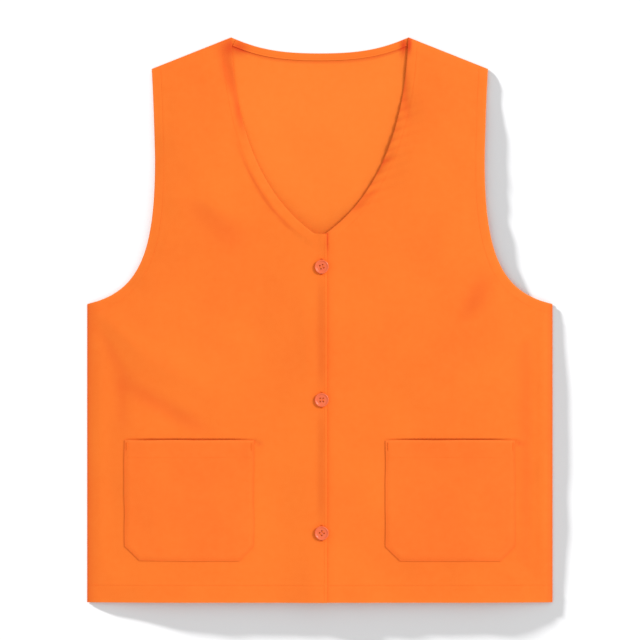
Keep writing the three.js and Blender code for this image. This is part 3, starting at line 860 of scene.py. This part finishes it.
# ---- Fronts ----
# Rows of the front: where each starts at the front edge, passes the neckline and ends outside.
def front_rows(side):
    edge = edge_of_front(side)
    top = NECK_FOOT[1] - (OVERLAP_STEP if side < 0 else UNDERLAP_STEP)
    rises = [r + d for r in BUTTON_RISES for d in (-SLIT_HALF_LENGTH, SLIT_HALF_LENGTH)]
    mouth = [POCKET_MOUTH + d * MM for d in (-3.0, -1.0, 0.2, 0.8, 1.4, 2.0, 2.6, 3.6)]
    hem = [d * MM for d in (19.2, 20.0, 20.8, 22.2, 23.6)]
    set_levels = [*EDGE_STEPS, *rises, *mouth, *hem]
    plain = np.arange(6.5 * MM, top - 4 * MM, 3.3 * MM)
    plain = [v for v in plain if min(abs(v - r) for r in set_levels) > 1.3 * MM]
    levels = np.array(sorted([*set_levels, *plain, *(top - EDGE_STEPS)]))
    inner = np.stack([np.full(len(levels), edge), levels], axis=1)
    knee = np.stack([np.full(len(levels), NECK_FOOT[0]), levels], axis=1)
    knee[-1] = NECK_FOOT
    neckline = evenly(NECKLINE, 104)[1:]
    inner = np.concatenate([inner, neckline])
    knee = np.concatenate([knee, neckline])
    outer_path = np.concatenate([SIDE_LINE, ARMHOLE[1:]])
    arm_at_foot = distances(SIDE_LINE)[-1] + np.interp(top - 6 * MM, ARMHOLE[:, 1], distances(ARMHOLE))
    run = distances(knee)
    knots_out = [0, 0.33, arm_at_foot, distances(outer_path)[-1]]
    outer = at(outer_path, np.interp(run, [0, 0.33, top, run[-1]], knots_out))
    return inner, knee, outer, len(levels)


# Points across each row, close together at the edges and where the front turns back.
def front_columns(side, inner, knee, outer):
    first = np.array([0, 0.35, 0.9, 1.8, 3.2, 5.7, 6.7, 9.0, 11.5, 13.5]) * MM
    first = first / (NECK_FOOT[0] - edge_of_front(side))
    near = np.array([5.5, 7.8, 9.4, 10.5, 11.6, 13.0, 14.6, 17.0, 20.0, 24.0]) * MM
    near = np.concatenate([EDGE_STEPS, near])
    far = EDGE_STEPS[::-1]
    slope = FOLD_RUN.x / FOLD_RUN.y
    grid = []
    for start, turn, end in zip(inner, knee, outer):
        length = np.linalg.norm(end - turn)
        heading = (end - turn) / length
        fold = (FOLD_START.x + slope * turn[1] - turn[0]) / (heading[0] - slope * heading[1])
        low = max(fold - FOLD_TURN - 1.5 * MM, near[-1] + 4 * MM)
        high = max(fold + 1.5 * MM, low + 8 * MM)
        places = np.concatenate([
            near, np.linspace(near[-1], low, 9)[1:], np.linspace(low, high, 13)[1:],
            np.linspace(high, length - far[0], 46)[1:], length - far[1:],
        ])
        before = start + first[:, None] * (turn - start)
        grid.append(np.concatenate([before, turn + places[:, None] * heading]))
    return np.array(grid), len(first)


# Just below the neckline's foot, where the overlap's top lies on the left front.
def at_overlap_top(h):
    return smooth(h, 0.405, 0.42) * (h < NECK_FOOT[1] + MM)


# Painted shade on the right front: at the neckline's end, along the neckline's stitches and its front
# edge, and between the buttons.
def right_front_shade(across, h, neck):
    from_edge = across - edge_of_front(-1)
    neck_x, neck_h = NECK_POINT[0] - across, NECK_POINT[1] - h
    depth = 0.8 * bell(neck_x - 2 * MM, 13 * MM) * bell(neck_h - 11 * MM, 10 * MM)
    depth = depth + 0.5 * bell(neck - 2 * MM, 5 * MM) * bell(h - 0.57, 20 * MM)
    depth = depth + 0.5 * np.exp(-np.abs(from_edge) / (1.1 * MM)) * at_overlap_top(h)
    below = (1 - smooth(h, 0.49, 0.55)) * smooth(h, 0.43, 0.442)
    depth = depth + 0.35 * bell(neck - 13 * MM, 1.6 * MM) * below
    free = np.clip(1 - sum(bell(h - rise, 24 * MM) for rise in BUTTON_RISES), 0, 1)
    free = free * smooth(h, 0.06, 0.1) * (1 - smooth(h, 0.38, 0.41))
    return depth + 0.17 * free * bell(from_edge - 6 * MM, 5.5 * MM)


# Painted shade on the left front: at the neckline's end, beside the overlap and in the puckers' valleys.
def left_front_shade(across, h, neck):
    neck_h = NECK_POINT[1] - h
    depth = bell(neck - 1.5 * MM, 2.6 * MM) * bell(neck_h - 9 * MM, 10 * MM)
    depth = depth + 0.75 * bell(across - OVERLAP_EDGE - 0.6 * MM, 1.0 * MM) * at_overlap_top(h)
    depth = depth + 0.25 * np.exp(-neck / (1.4 * MM))
    valley = np.clip(-pucker_wave(across, h), 0, 1)
    return depth + 0.22 * valley * np.exp(-neck / PUCKER_REACH) * on_low_neckline(h)


# Marks the faces of a grid that lie in the buttonholes' slits.
def in_slits(x, h, middle, half_width):
    middle_x = (x[:-1, :-1] + x[1:, 1:]) / 2
    middle_h = (h[:-1, :-1] + h[1:, 1:]) / 2
    marked = np.zeros(middle_x.shape, bool)
    for rise in BUTTON_RISES:
        tall = np.abs(middle_h - rise) < SLIT_HALF_LENGTH
        marked |= tall & (np.abs(middle_x - middle) < half_width)
    return marked


def make_front(side):
    word = SIDE_WORD[side]
    edge = edge_of_front(side)
    inner, knee, outer, lower_rows = front_rows(side)
    grid, before_neck = front_columns(side, inner, knee, outer)
    across, h = grid[..., 0], grid[..., 1]
    x = side * across
    z = front_level(side, x, h)
    neck = from_path(NECKLINE, across, h)
    side_edge = from_path(SIDE_LINE, across, h)
    rims = [from_path(ARMHOLE, across, h), h, side_edge, neck + MM]
    rim = np.exp(-np.minimum.reduce(rims) / (1.0 * MM))
    # Painted shade: darker in the creases' hollows, in the folds at the neckline, overlap, puckers and
    # between the buttons, and along the side seam.
    crease_shade = np.clip(-creases(side, x, h) / (2.4 * MM), 0, 0.4)
    fold_shade = right_front_shade(across, h, neck) if side < 0 else left_front_shade(across, h, neck)
    shade = np.clip(crease_shade + fold_shade + 0.5 * np.exp(-side_edge / (3.2 * MM)), 0, 0.9)
    cut = np.zeros((len(grid) - 1, grid.shape[1] - 1), bool)
    cut[lower_rows - 1:, :before_neck] = True
    if side < 0:
        cut |= in_slits(x, h, BUTTON_X, SLIT_HALF_WIDTH)
    piece = lay_cloth(f"{word}_front_cloth", x, h, z, CLOTH, rim=rim, cut=cut, shade=shade)
    finish_piece(piece, BODY_CLOTH)
    area = cut_area(x[:, before_neck:], h[:, before_neck:])
    area = area + (NECK_FOOT[0] - edge) * (NECK_FOOT[1] - OVERLAP_STEP)
    names = [f"{word}_front_side", f"{word}_front_flap"]
    if side < 0:
        names.append("right_placket")
    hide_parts(*names)
    bend_at_fold(piece)


def bend_at_fold(piece):
    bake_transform(piece)


# What is sewn to a front: hem, neck binding, armhole binding, and the strip down its edge.
def front_strips(side):
    word = SIDE_WORD[side]
    join = UNDERLAP_INNER if side > 0 else OVERLAP_INNER
    edge = edge_of_front(side)

    def under(drop):
        return lambda x, h: front_level(side, x, h) - drop

    reach = HALF_CHEST - SEAM_CLEAR
    hem = strip(
        f"{word}_front_hem_turn", side, np.array([(join + 0.4 * MM, 1.0 * MM), (reach, 1.0 * MM)]),
        np.array([(join + 0.4 * MM, HEM_DEPTH), (reach, HEM_DEPTH)]), under(TURN_LIFT), LINING,
        170, 8, INSIDE_CLOTH,
    )
    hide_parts(f"{word}_front_side_hem", f"{word}_flap_hem")
    bend_at_fold(hem)

    keep = NECKLINE[:, 0] > join + 0.4 * MM
    keep &= from_shoulder(NECKLINE[:, 0], NECKLINE[:, 1]) > SEAM_CLEAR
    neck = beside(NECKLINE, -0.9 * MM)[keep]
    neck_outer = beside(NECKLINE, -FACING_WIDTH)[keep]
    facing = strip(
        f"{word}_neck_binding", side, neck, neck_outer, under(TURN_LIFT), LINING,
        170, 7, INSIDE_CLOTH,
    )
    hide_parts(f"{word}_upper_neck_facing", f"{word}_lower_neck_facing")
    bend_at_fold(facing)

    facing = strip(
        f"{word}_front_armhole_binding", side, clear_of_seams(beside(ARMHOLE, FACING_WIDTH)),
        clear_of_seams(beside(ARMHOLE, 1.0 * MM)), under(TURN_LIFT), LINING,
        90, 6, INSIDE_CLOTH,
    )
    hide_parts(f"{word}_front_armhole_facing")
    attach(facing, "garment")

    button_strip(side, f"{word}_stiffening", edge + 2 * MM, join - 2 * MM, 0.5, STIFFENING, FELT)
    button_strip(side, f"{word}_front_lining", edge + 0.8 * MM, join, 0.95, LINING, INSIDE_CLOTH)


# A layer under the front edge, which carries the buttons or has the slits cut through it.
def button_strip(side, name, start, end, drop, thickness, material):
    word = SIDE_WORD[side]
    slit = [-BUTTON_X + d * MM for d in (-1.8, -0.9, 0.9, 1.8)]
    columns = np.array([start, start + 0.8 * MM, *slit, *np.linspace(-BUTTON_X + 4 * MM, end, 12)])
    if side > 0:
        columns = np.linspace(start, end, 16)
    rises = [r + d for r in BUTTON_RISES for d in (-SLIT_HALF_LENGTH, SLIT_HALF_LENGTH)]
    low = 2 * MM if material is FELT else 0.9 * MM
    high = NECK_FOOT[1] - (4.4 if material is FELT else 2.4) * MM
    plain = [v for v in np.arange(low, high, 3.4 * MM) if min(abs(v - r) for r in rises) > 1.2 * MM]
    levels = np.array(sorted(plain + rises + [high]))
    across, h = np.meshgrid(columns, levels)
    under_neck = np.interp(across, *NECKLINE.T) - (3.0 if material is FELT else 1.5) * MM
    top = np.where(across > NECK_FOOT[0], under_neck, high)
    if material is not FELT:
        stretch = np.where(h > 0.4, (top - low) / (high - low), 1.0)
        h = low + (h - low) * stretch ** smooth(h, 0.4, high)
    x = side * across
    cut = in_slits(across, h, -BUTTON_X, LINED_SLIT_HALF_WIDTH) if side < 0 else None
    level = front_level(side, x, h) - drop * MM
    piece = lay_cloth(name, x, h, level, thickness, cut=cut)
    finish_piece(piece, material)
    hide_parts(f"{word}_interlining" if material is FELT else f"{word}_front_facing")
    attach(piece, f"{word}_front")


# ---- Pockets ----
def make_pocket(side):
    word = SIDE_WORD[side]
    height = POCKET_MOUTH - POCKET_FOOT
    low = np.arange(5.6, 17, 2.3) * MM
    middle = np.linspace(CUT_CORNER, height - EDGE_STEPS[-1], 42)
    rises = np.concatenate([EDGE_STEPS, low, middle, height - EDGE_STEPS[-2::-1]])
    cut = np.maximum(0, CUT_CORNER - rises)
    inner = np.stack([POCKET_INNER + cut, POCKET_FOOT + rises], axis=1)
    outer = np.stack([POCKET_OUTER - cut, POCKET_FOOT + rises], axis=1)
    shares = near_edges(POCKET_OUTER - POCKET_INNER, 3.2 * MM)
    grid = between(inner, outer, shares)
    x, h = side * grid[..., 0], grid[..., 1]
    edge = from_path(POCKET_EDGE, grid[..., 0], h)
    rim = 0.5 * np.exp(-np.abs(POCKET_MOUTH - h - 1.2 * MM) / (1.0 * MM))
    # Painted shade: darker along the pocket's edges.
    shade = 0.16 * np.exp(-edge / (1.2 * MM))
    wobble = 0.9 * MM * ripple(x, h, 0.034, 41.0 + side)
    x, h = x + wobble, h + wobble * 0.6
    level = pocket_level(side, x, h)
    piece = lay_cloth(f"{word}_pocket_cloth", x, h, level, CLOTH, rim=rim, shade=shade)
    finish_piece(piece, POCKET_CLOTH)
    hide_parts(f"{word}_pocket")
    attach(piece, "garment")
    left_end, right_end = POCKET_INNER + 5 * MM, POCKET_OUTER - 5 * MM
    turn = strip(
        f"{word}_pocket_hem_turn", side,
        np.array([(left_end, POCKET_MOUTH - HEM_DEPTH), (right_end, POCKET_MOUTH - HEM_DEPTH)]),
        np.array([(left_end, POCKET_MOUTH - MM), (right_end, POCKET_MOUTH - MM)]),
        lambda x, h: pocket_level(side, x, h) - 0.5 * MM, 0.3 * MM,
        50, 8, POCKET_CLOTH,
    )
    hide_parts(f"{word}_pocket_hem")
    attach(turn, "garment")


# ---- Sewing ----
STITCH = 2.1 * MM
PITCH = 2.8 * MM
THREAD_WIDTH = 0.42 * MM
THREAD_HEIGHT = 0.34 * MM
BAR_STITCHES = 24
SLIT_STITCHES = 40  # down each side of a buttonhole
SLIT_END_STITCHES = 7


# One stitch: a short round thread along X whose ends dip into the cloth.
def one_stitch():
    deselect()
    bpy.ops.mesh.primitive_cylinder_add(
        vertices=6, radius=0.5, depth=0.6, location=(0, 0, 0), rotation=(0, math.pi / 2, 0)
    )
    piece = bpy.context.active_object
    bpy.ops.object.transform_apply(location=True, rotation=True, scale=True)
    bpy.ops.object.mode_set(mode="EDIT")
    bpy.ops.mesh.select_mode(type="FACE")
    for way in (-1, 1):
        bpy.ops.mesh.select_all(action="DESELECT")
        bpy.ops.object.mode_set(mode="OBJECT")
        for face in piece.data.polygons:
            face.select = face.normal.x * way > 0.9
        bpy.ops.object.mode_set(mode="EDIT")
        bpy.ops.mesh.extrude_region_move(TRANSFORM_OT_translate={"value": (0.2 * way, 0, -0.42)})
        bpy.ops.transform.resize(value=(1, 0.55, 0.55))
    bpy.ops.object.mode_set(mode="OBJECT")
    points = np.array([v.co for v in piece.data.vertices])
    faces = [tuple(face.vertices) for face in piece.data.polygons]
    mesh = piece.data
    bpy.data.objects.remove(piece)
    bpy.data.meshes.remove(mesh)
    return points, faces


STITCH_POINTS, STITCH_FACES = one_stitch()


# Copies of the stitch: each place is (x, y, z, heading, length, width, height).
def sew(name, places):
    points, faces = [], []
    for x, y, z, heading, length, width, height in places:
        shape = STITCH_POINTS * (length, width, height)
        c, s = math.cos(heading), math.sin(heading)
        turned = np.stack([
            shape[:, 0] * c - shape[:, 1] * s + x,
            shape[:, 0] * s + shape[:, 1] * c + y,
            shape[:, 2] + z,
        ], axis=1)
        start = len(points) * len(STITCH_POINTS)
        points.append(turned)
        faces.extend(tuple(v + start for v in face) for face in STITCH_FACES)
    piece = new_mesh(name, np.concatenate(points).tolist(), faces)
    return finish_piece(piece, THREAD, angle=80)


# Places of a row of stitches along a path on the plan.
def seam_row(path, level, side=1):
    total = distances(path)[-1]
    count = max(1, int(total / PITCH))
    middles = (np.arange(count) + 0.5) * total / count
    points = at(path, middles)
    ahead = at(path, np.minimum(middles + 0.5 * MM, total)) - at(path, middles - 0.5 * MM)
    x, h = side * points[:, 0], points[:, 1]
    z = level(x, h)
    places = []
    for i in range(count):
        heading = math.atan2(ahead[i, 1], side * ahead[i, 0])
        places.append((x[i], h[i] + HEM, z[i], heading, STITCH, THREAD_WIDTH, THREAD_HEIGHT))
    return places


def sew_front(side):
    edge = edge_of_front(side)

    def on_top(x, h):
        return front_level(side, x, h) + CLOTH / 2 + 0.1 * MM

    rows = []
    neck = beside(NECKLINE, -EDGE_STITCH)
    rows += seam_row(neck[neck[:, 0] > edge + 8 * MM][2:-3], on_top, side)
    arm = beside(ARMHOLE, EDGE_STITCH)
    arm = arm[(arm[:, 0] < HALF_CHEST - 2 * MM) & (from_shoulder(arm[:, 0], arm[:, 1]) > 2 * MM)]
    rows += seam_row(arm, on_top, side)
    start = edge + 3 * MM
    hem_line = np.array([(start, HEM_STITCH), (HALF_CHEST - 1.5 * MM, HEM_STITCH)])
    rows += seam_row(hem_line, on_top, side)
    edge_line = np.array([(start, 2 * MM), (start, NECK_FOOT[1] - 4 * MM)])
    rows += seam_row(edge_line, on_top, side)
    piece = sew(f"{SIDE_WORD[side]}_front_stitching", rows)
    bend_at_fold(piece)


def sew_pocket(side):
    word = SIDE_WORD[side]

    def on_top(x, h):
        return pocket_level(side, x, h) + CLOTH / 2 + 0.1 * MM

    inset = POCKET_STITCH
    cut = CUT_CORNER + inset * (math.sqrt(2) - 1) - inset
    path = np.array([
        (POCKET_INNER + inset, POCKET_MOUTH - 1.2 * MM),
        (POCKET_INNER + inset, POCKET_FOOT + inset + cut),
        (POCKET_INNER + inset + cut, POCKET_FOOT + inset),
        (POCKET_OUTER - inset - cut, POCKET_FOOT + inset),
        (POCKET_OUTER - inset, POCKET_FOOT + inset + cut),
        (POCKET_OUTER - inset, POCKET_MOUTH - 1.2 * MM),
    ])
    rows = []
    for a, b in zip(path[:-1], path[1:]):
        rows += seam_row(np.array([a, b]), on_top, side)
    level = POCKET_MOUTH - HEM_STITCH
    hem_line = np.array([(POCKET_INNER + 3 * MM, level), (POCKET_OUTER - 3 * MM, level)])
    rows += seam_row(hem_line, on_top, side)
    piece = sew(f"{word}_pocket_stitching", rows)
    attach(piece, "garment")
    for name in ("inner", "outer"):
        low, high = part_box(f"{word}_pocket_{name}_tack")
        x = (low.x + high.x) / 2
        places = []
        for i in range(BAR_STITCHES):
            h = low.y - HEM + (i + 0.5) / BAR_STITCHES * (high.y - low.y)
            z = float(on_top(np.array([x]), np.array([h]))[0]) + 0.08 * MM
            tilt = 0.12 if i % 2 else -0.12
            places.append((x, h + HEM, z, tilt, 1.9 * MM, THREAD_WIDTH, THREAD_HEIGHT))
        bar = sew(f"{word}_pocket_{name}_bar_stitch", places)
        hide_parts(f"{word}_pocket_{name}_tack")
        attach(bar, "garment")


def sew_back():
    def on_band(x, h):
        return back_level(x, h) + 1.05 * MM

    low = beside(BACK_NECK, BAND_STITCH)[4:]
    both = np.concatenate([low, (low * (-1, 1))[-2::-1]])
    rows = seam_row(both, on_band)
    piece = sew("back_neck_stitching", rows)
    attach(piece, "garment")


# ---- Buttonholes ----
def make_buttonhole(index):
    rise = BUTTON_RISES[index]

    def top(h):
        return float(front_level(-1, np.array([BUTTON_X]), np.array([h]))[0])

    places = []
    for way in (-1, 1):
        for i in range(SLIT_STITCHES):
            h = rise - SLIT_HALF_LENGTH + (i + 0.5) / SLIT_STITCHES * 2 * SLIT_HALF_LENGTH
            x = BUTTON_X + way * 1.15 * MM
            z = top(h) + CLOTH / 2
            places.append((x, h + HEM, z + 0.06 * MM, 0.0, 1.7 * MM, 0.46 * MM, 0.5 * MM))
            places.append((x, h + HEM, z - 1.55 * MM, 0.0, 1.7 * MM, 0.46 * MM, -0.4 * MM))
        for i in range(SLIT_END_STITCHES):
            x = BUTTON_X + (i - SLIT_END_STITCHES // 2) * 0.44 * MM
            h = rise + way * (SLIT_HALF_LENGTH + 0.7 * MM)
            z = top(h) + CLOTH / 2 + 0.08 * MM
            places.append((x, h + HEM, z, math.pi / 2, 1.6 * MM, 0.46 * MM, 0.5 * MM))
    piece = sew(f"buttonhole_{index + 1}_stitching", places)
    wall = buttonhole_wall(rise, top(rise))
    make_active(piece)
    wall.select_set(True)
    bpy.ops.object.join()
    deselect()
    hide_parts(f"buttonhole_{index + 1}")
    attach(piece, "right_front")


# The thread that lines the slit through all the layers.
def buttonhole_wall(rise, level):
    deselect()
    bpy.ops.mesh.primitive_cylinder_add(
        vertices=24, radius=0.9 * MM, depth=1.7 * MM, end_fill_type="NOTHING",
        location=(0, 0, level - 0.62 * MM),
    )
    wall = bpy.context.active_object
    bpy.ops.object.transform_apply(location=True, rotation=True, scale=True)
    for vertex in wall.data.vertices:
        way = 1 if vertex.co.y > 0 else -1
        vertex.co.y += way * (SLIT_HALF_LENGTH - 0.5 * MM)
        vertex.co.x = vertex.co.x + BUTTON_X
        vertex.co.y = vertex.co.y + rise + HEM
    skin = wall.modifiers.new("thread", "SOLIDIFY")
    skin.thickness = 0.35 * MM
    make_active(wall)
    bpy.ops.object.modifier_apply(modifier=skin.name)
    return finish_piece(wall, THREAD, angle=60)


# ---- Buttons ----
HOLE_SPACING = 3.5 * MM
HOLE_RADIUS = 0.95 * MM
SHANK_RADIUS = 0.85 * MM
SHANK_WINDING = 0.42 * MM  # half the way from one wound thread of the shank to the next
BUTTON_FOOT = 0.78  # the button's underside, as a share of its radius
# The button's rim and dish, ring by ring: rise as a share of its thickness, size of its radius.
BUTTON_RINGS = (
    (0.30, 1.0), (0.16, 0.985), (0.09, 0.95), (0.03, 0.91), (-0.02, 0.86), (-0.1, 0.80),
    (-0.14, 0.745), (-0.06, 0.70), (-0.01, 0.64), (0.01, 0.59), (-0.01, 0.54),
)
BUTTON_TURNS = (0.35, 0.0, 0.7)  # each button is sewn on at its own angle
BUTTON_BODIES = ("top_button", "middle_button", "bottom_button")


# Selects the faces that pass the test, in edit mode.
def pick_faces(piece, test):
    bpy.ops.mesh.select_mode(type="FACE")
    bpy.ops.mesh.select_all(action="DESELECT")
    bpy.ops.object.mode_set(mode="OBJECT")
    for face in piece.data.polygons:
        face.select = test(face)
    bpy.ops.object.mode_set(mode="EDIT")


# One button at the origin, with its rim, its dish and four holes.
def make_button_blank():
    t = BUTTON_THICKNESS
    deselect()
    bpy.ops.mesh.primitive_cylinder_add(
        vertices=64, radius=BUTTON_RADIUS * BUTTON_FOOT, depth=t * 0.42, location=(0, 0, t * 0.21)
    )
    button = bpy.context.active_object
    bpy.ops.object.transform_apply(location=True, rotation=True, scale=True)
    bpy.ops.object.mode_set(mode="EDIT")
    pick_faces(button, lambda face: face.normal.z > 0.9)
    bpy.ops.transform.resize(value=(1 / BUTTON_FOOT, 1 / BUTTON_FOOT, 1))
    size = 1.0
    for rise, share in BUTTON_RINGS:
        bpy.ops.mesh.extrude_region_move(TRANSFORM_OT_translate={"value": (0, 0, rise * t)})
        bpy.ops.transform.resize(value=(share / size, share / size, 1))
        size = share
    bpy.ops.object.mode_set(mode="OBJECT")
    from_centre = HOLE_SPACING / 2
    cutters = []
    for across in (-from_centre, from_centre):
        for up in (-from_centre, from_centre):
            deselect()
            bpy.ops.mesh.primitive_cylinder_add(
                vertices=20, radius=HOLE_RADIUS, depth=3 * t, location=(across, up, t / 2)
            )
            cutters.append(bpy.context.active_object)
    make_active(cutters[0])
    for cutter in cutters:
        cutter.select_set(True)
    bpy.ops.object.join()
    bpy.ops.object.transform_apply(location=True, rotation=True, scale=True)
    drill = cutters[0]
    holes = button.modifiers.new("holes", "BOOLEAN")
    holes.operation = "DIFFERENCE"
    holes.object = drill
    holes.solver = "EXACT"
    make_active(button)
    bpy.ops.object.modifier_apply(modifier=holes.name)
    bpy.data.objects.remove(drill)
    soften = button.modifiers.new("soften", "BEVEL")
    soften.width = 0.14 * MM
    soften.segments = 2
    soften.limit_method = "ANGLE"
    soften.angle_limit = math.radians(40)
    make_active(button)
    bpy.ops.object.modifier_apply(modifier=soften.name)
    return button


def make_buttons():
    blank = make_button_blank()
    for index, turn in enumerate(BUTTON_TURNS):
        button = blank.copy()
        button.data = blank.data.copy()
        button.name = f"button_{index + 1}_resin"
        bpy.context.scene.collection.objects.link(button)
        points = np.array([v.co for v in button.data.vertices])
        c, s = math.cos(turn), math.sin(turn)
        placed = np.stack([
            points[:, 0] * c - points[:, 1] * s + BUTTON_X,
            points[:, 0] * s + points[:, 1] * c + BUTTON_RISES[index] + HEM,
            points[:, 2] + button_boxes[index][0].z,
        ], axis=1)
        button.data.vertices.foreach_set("co", placed.astype(np.float32).ravel())
        button.data.update()
        finish_piece(button, RESIN, angle=38)
        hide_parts(BUTTONS[index])
        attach(button, BUTTON_BODIES[index])
        make_button_thread(index, turn)
    bpy.data.objects.remove(blank)


# The thread that holds a button: its wound shank and the strands over the button's face.
def make_button_thread(index, turn):
    rise = BUTTON_RISES[index] + HEM
    floor_of_dish = BUTTON_FLOOR + BUTTON_THICKNESS * 0.60
    places = []
    for way in (-1, 1):
        for strand in (-1, 0, 1):
            aside = way * HOLE_SPACING / 2 + strand * 0.33 * MM
            x, y = BUTTON_X + aside * math.cos(turn), rise + aside * math.sin(turn)
            arch = (0.8 + 0.1 * strand) * MM
            places.append((
                x, y, floor_of_dish + 0.32 * MM,
                turn + math.pi / 2, HOLE_SPACING + 0.5 * MM, THREAD_WIDTH, arch,
            ))
    piece = sew(f"button_{index + 1}_thread", places)
    deselect()
    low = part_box(f"button_shank_{index + 1}")[0]
    bottom = low.z - 0.5 * MM
    bpy.ops.mesh.primitive_cylinder_add(
        vertices=16, radius=SHANK_RADIUS, depth=BUTTON_FLOOR - bottom + 0.4 * MM,
        location=(BUTTON_X, rise, (bottom + BUTTON_FLOOR + 0.4 * MM) / 2),
    )
    shank = bpy.context.active_object
    bpy.ops.object.transform_apply(location=True, rotation=True, scale=True)
    bpy.ops.object.mode_set(mode="EDIT")
    pick_faces(shank, lambda face: abs(face.normal.z) < 0.5)
    bpy.ops.mesh.subdivide(number_cuts=9)
    bpy.ops.object.mode_set(mode="OBJECT")
    for vertex in shank.data.vertices:
        wound = 1 + 0.12 * math.sin((vertex.co.z - bottom) / SHANK_WINDING * math.pi)
        vertex.co.x = BUTTON_X + (vertex.co.x - BUTTON_X) * wound
        vertex.co.y = rise + (vertex.co.y - rise) * wound
    finish_piece(shank, THREAD, angle=60)
    make_active(piece)
    shank.select_set(True)
    bpy.ops.object.join()
    deselect()
    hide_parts(f"button_shank_{index + 1}")
    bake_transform(piece)


# ---- Stage and light ----
FLOOR_COLOUR = (0.93, 0.93, 0.94)
ROOM_STRENGTH = 0.71


# A lamp far away in one direction; softness is the angle it covers, in degrees.
def add_sun(name, towards, energy, softness):
    sun = bpy.data.lights.new(name, "SUN")
    sun.energy = energy
    sun.angle = math.radians(softness)
    lamp = bpy.data.objects.new(name, sun)
    lamp.rotation_euler = Vector(towards).to_track_quat("Z", "Y").to_euler()
    bpy.context.scene.collection.objects.link(lamp)
    return lamp


# Makes a lamp light the floor alone, or all but the floor.
def link_to_floor(lamp, floor, state):
    lit = bpy.data.collections.new(f"{lamp.name}_receivers")
    lit.objects.link(floor)
    lamp.light_linking.receiver_collection = lit
    lit.collection_objects[0].light_linking.link_state = state


def make_stage():
    deselect()
    bpy.ops.mesh.primitive_plane_add(size=12.0, location=(0, 0, -0.0003))
    floor = bpy.context.active_object
    floor.name = "floor"
    material, _, shader = start_material("pale_floor", FLOOR_COLOUR, 0.9)
    shader.inputs["Base Color"].default_value = (*FLOOR_COLOUR, 1.0)
    floor.data.materials.append(material)
    world = bpy.data.worlds.new("soft_room")
    bpy.context.scene.world = world
    world.use_nodes = True
    room = world.node_tree.nodes["Background"]
    room.inputs["Color"].default_value = (1.0, 1.0, 1.0, 1.0)
    room.inputs["Strength"].default_value = ROOM_STRENGTH
    vest_light = add_sun("key_light", (0.74, 0.42, 0.8), 1.68, 16)
    floor_light = add_sun("floor_light", (-0.8, 0.6, 0.16), 8.4, 3)
    link_to_floor(vest_light, floor, "EXCLUDE")
    link_to_floor(floor_light, floor, "INCLUDE")
    bpy.context.scene.view_settings.view_transform = "Standard"


make_stage()
make_back()
back_strips()
for half in (1, -1):
    make_front(half)
    front_strips(half)
    make_pocket(half)
    sew_front(half)
    sew_pocket(half)
sew_back()
for number in range(len(BUTTONS)):
    make_buttonhole(number)
make_buttons()
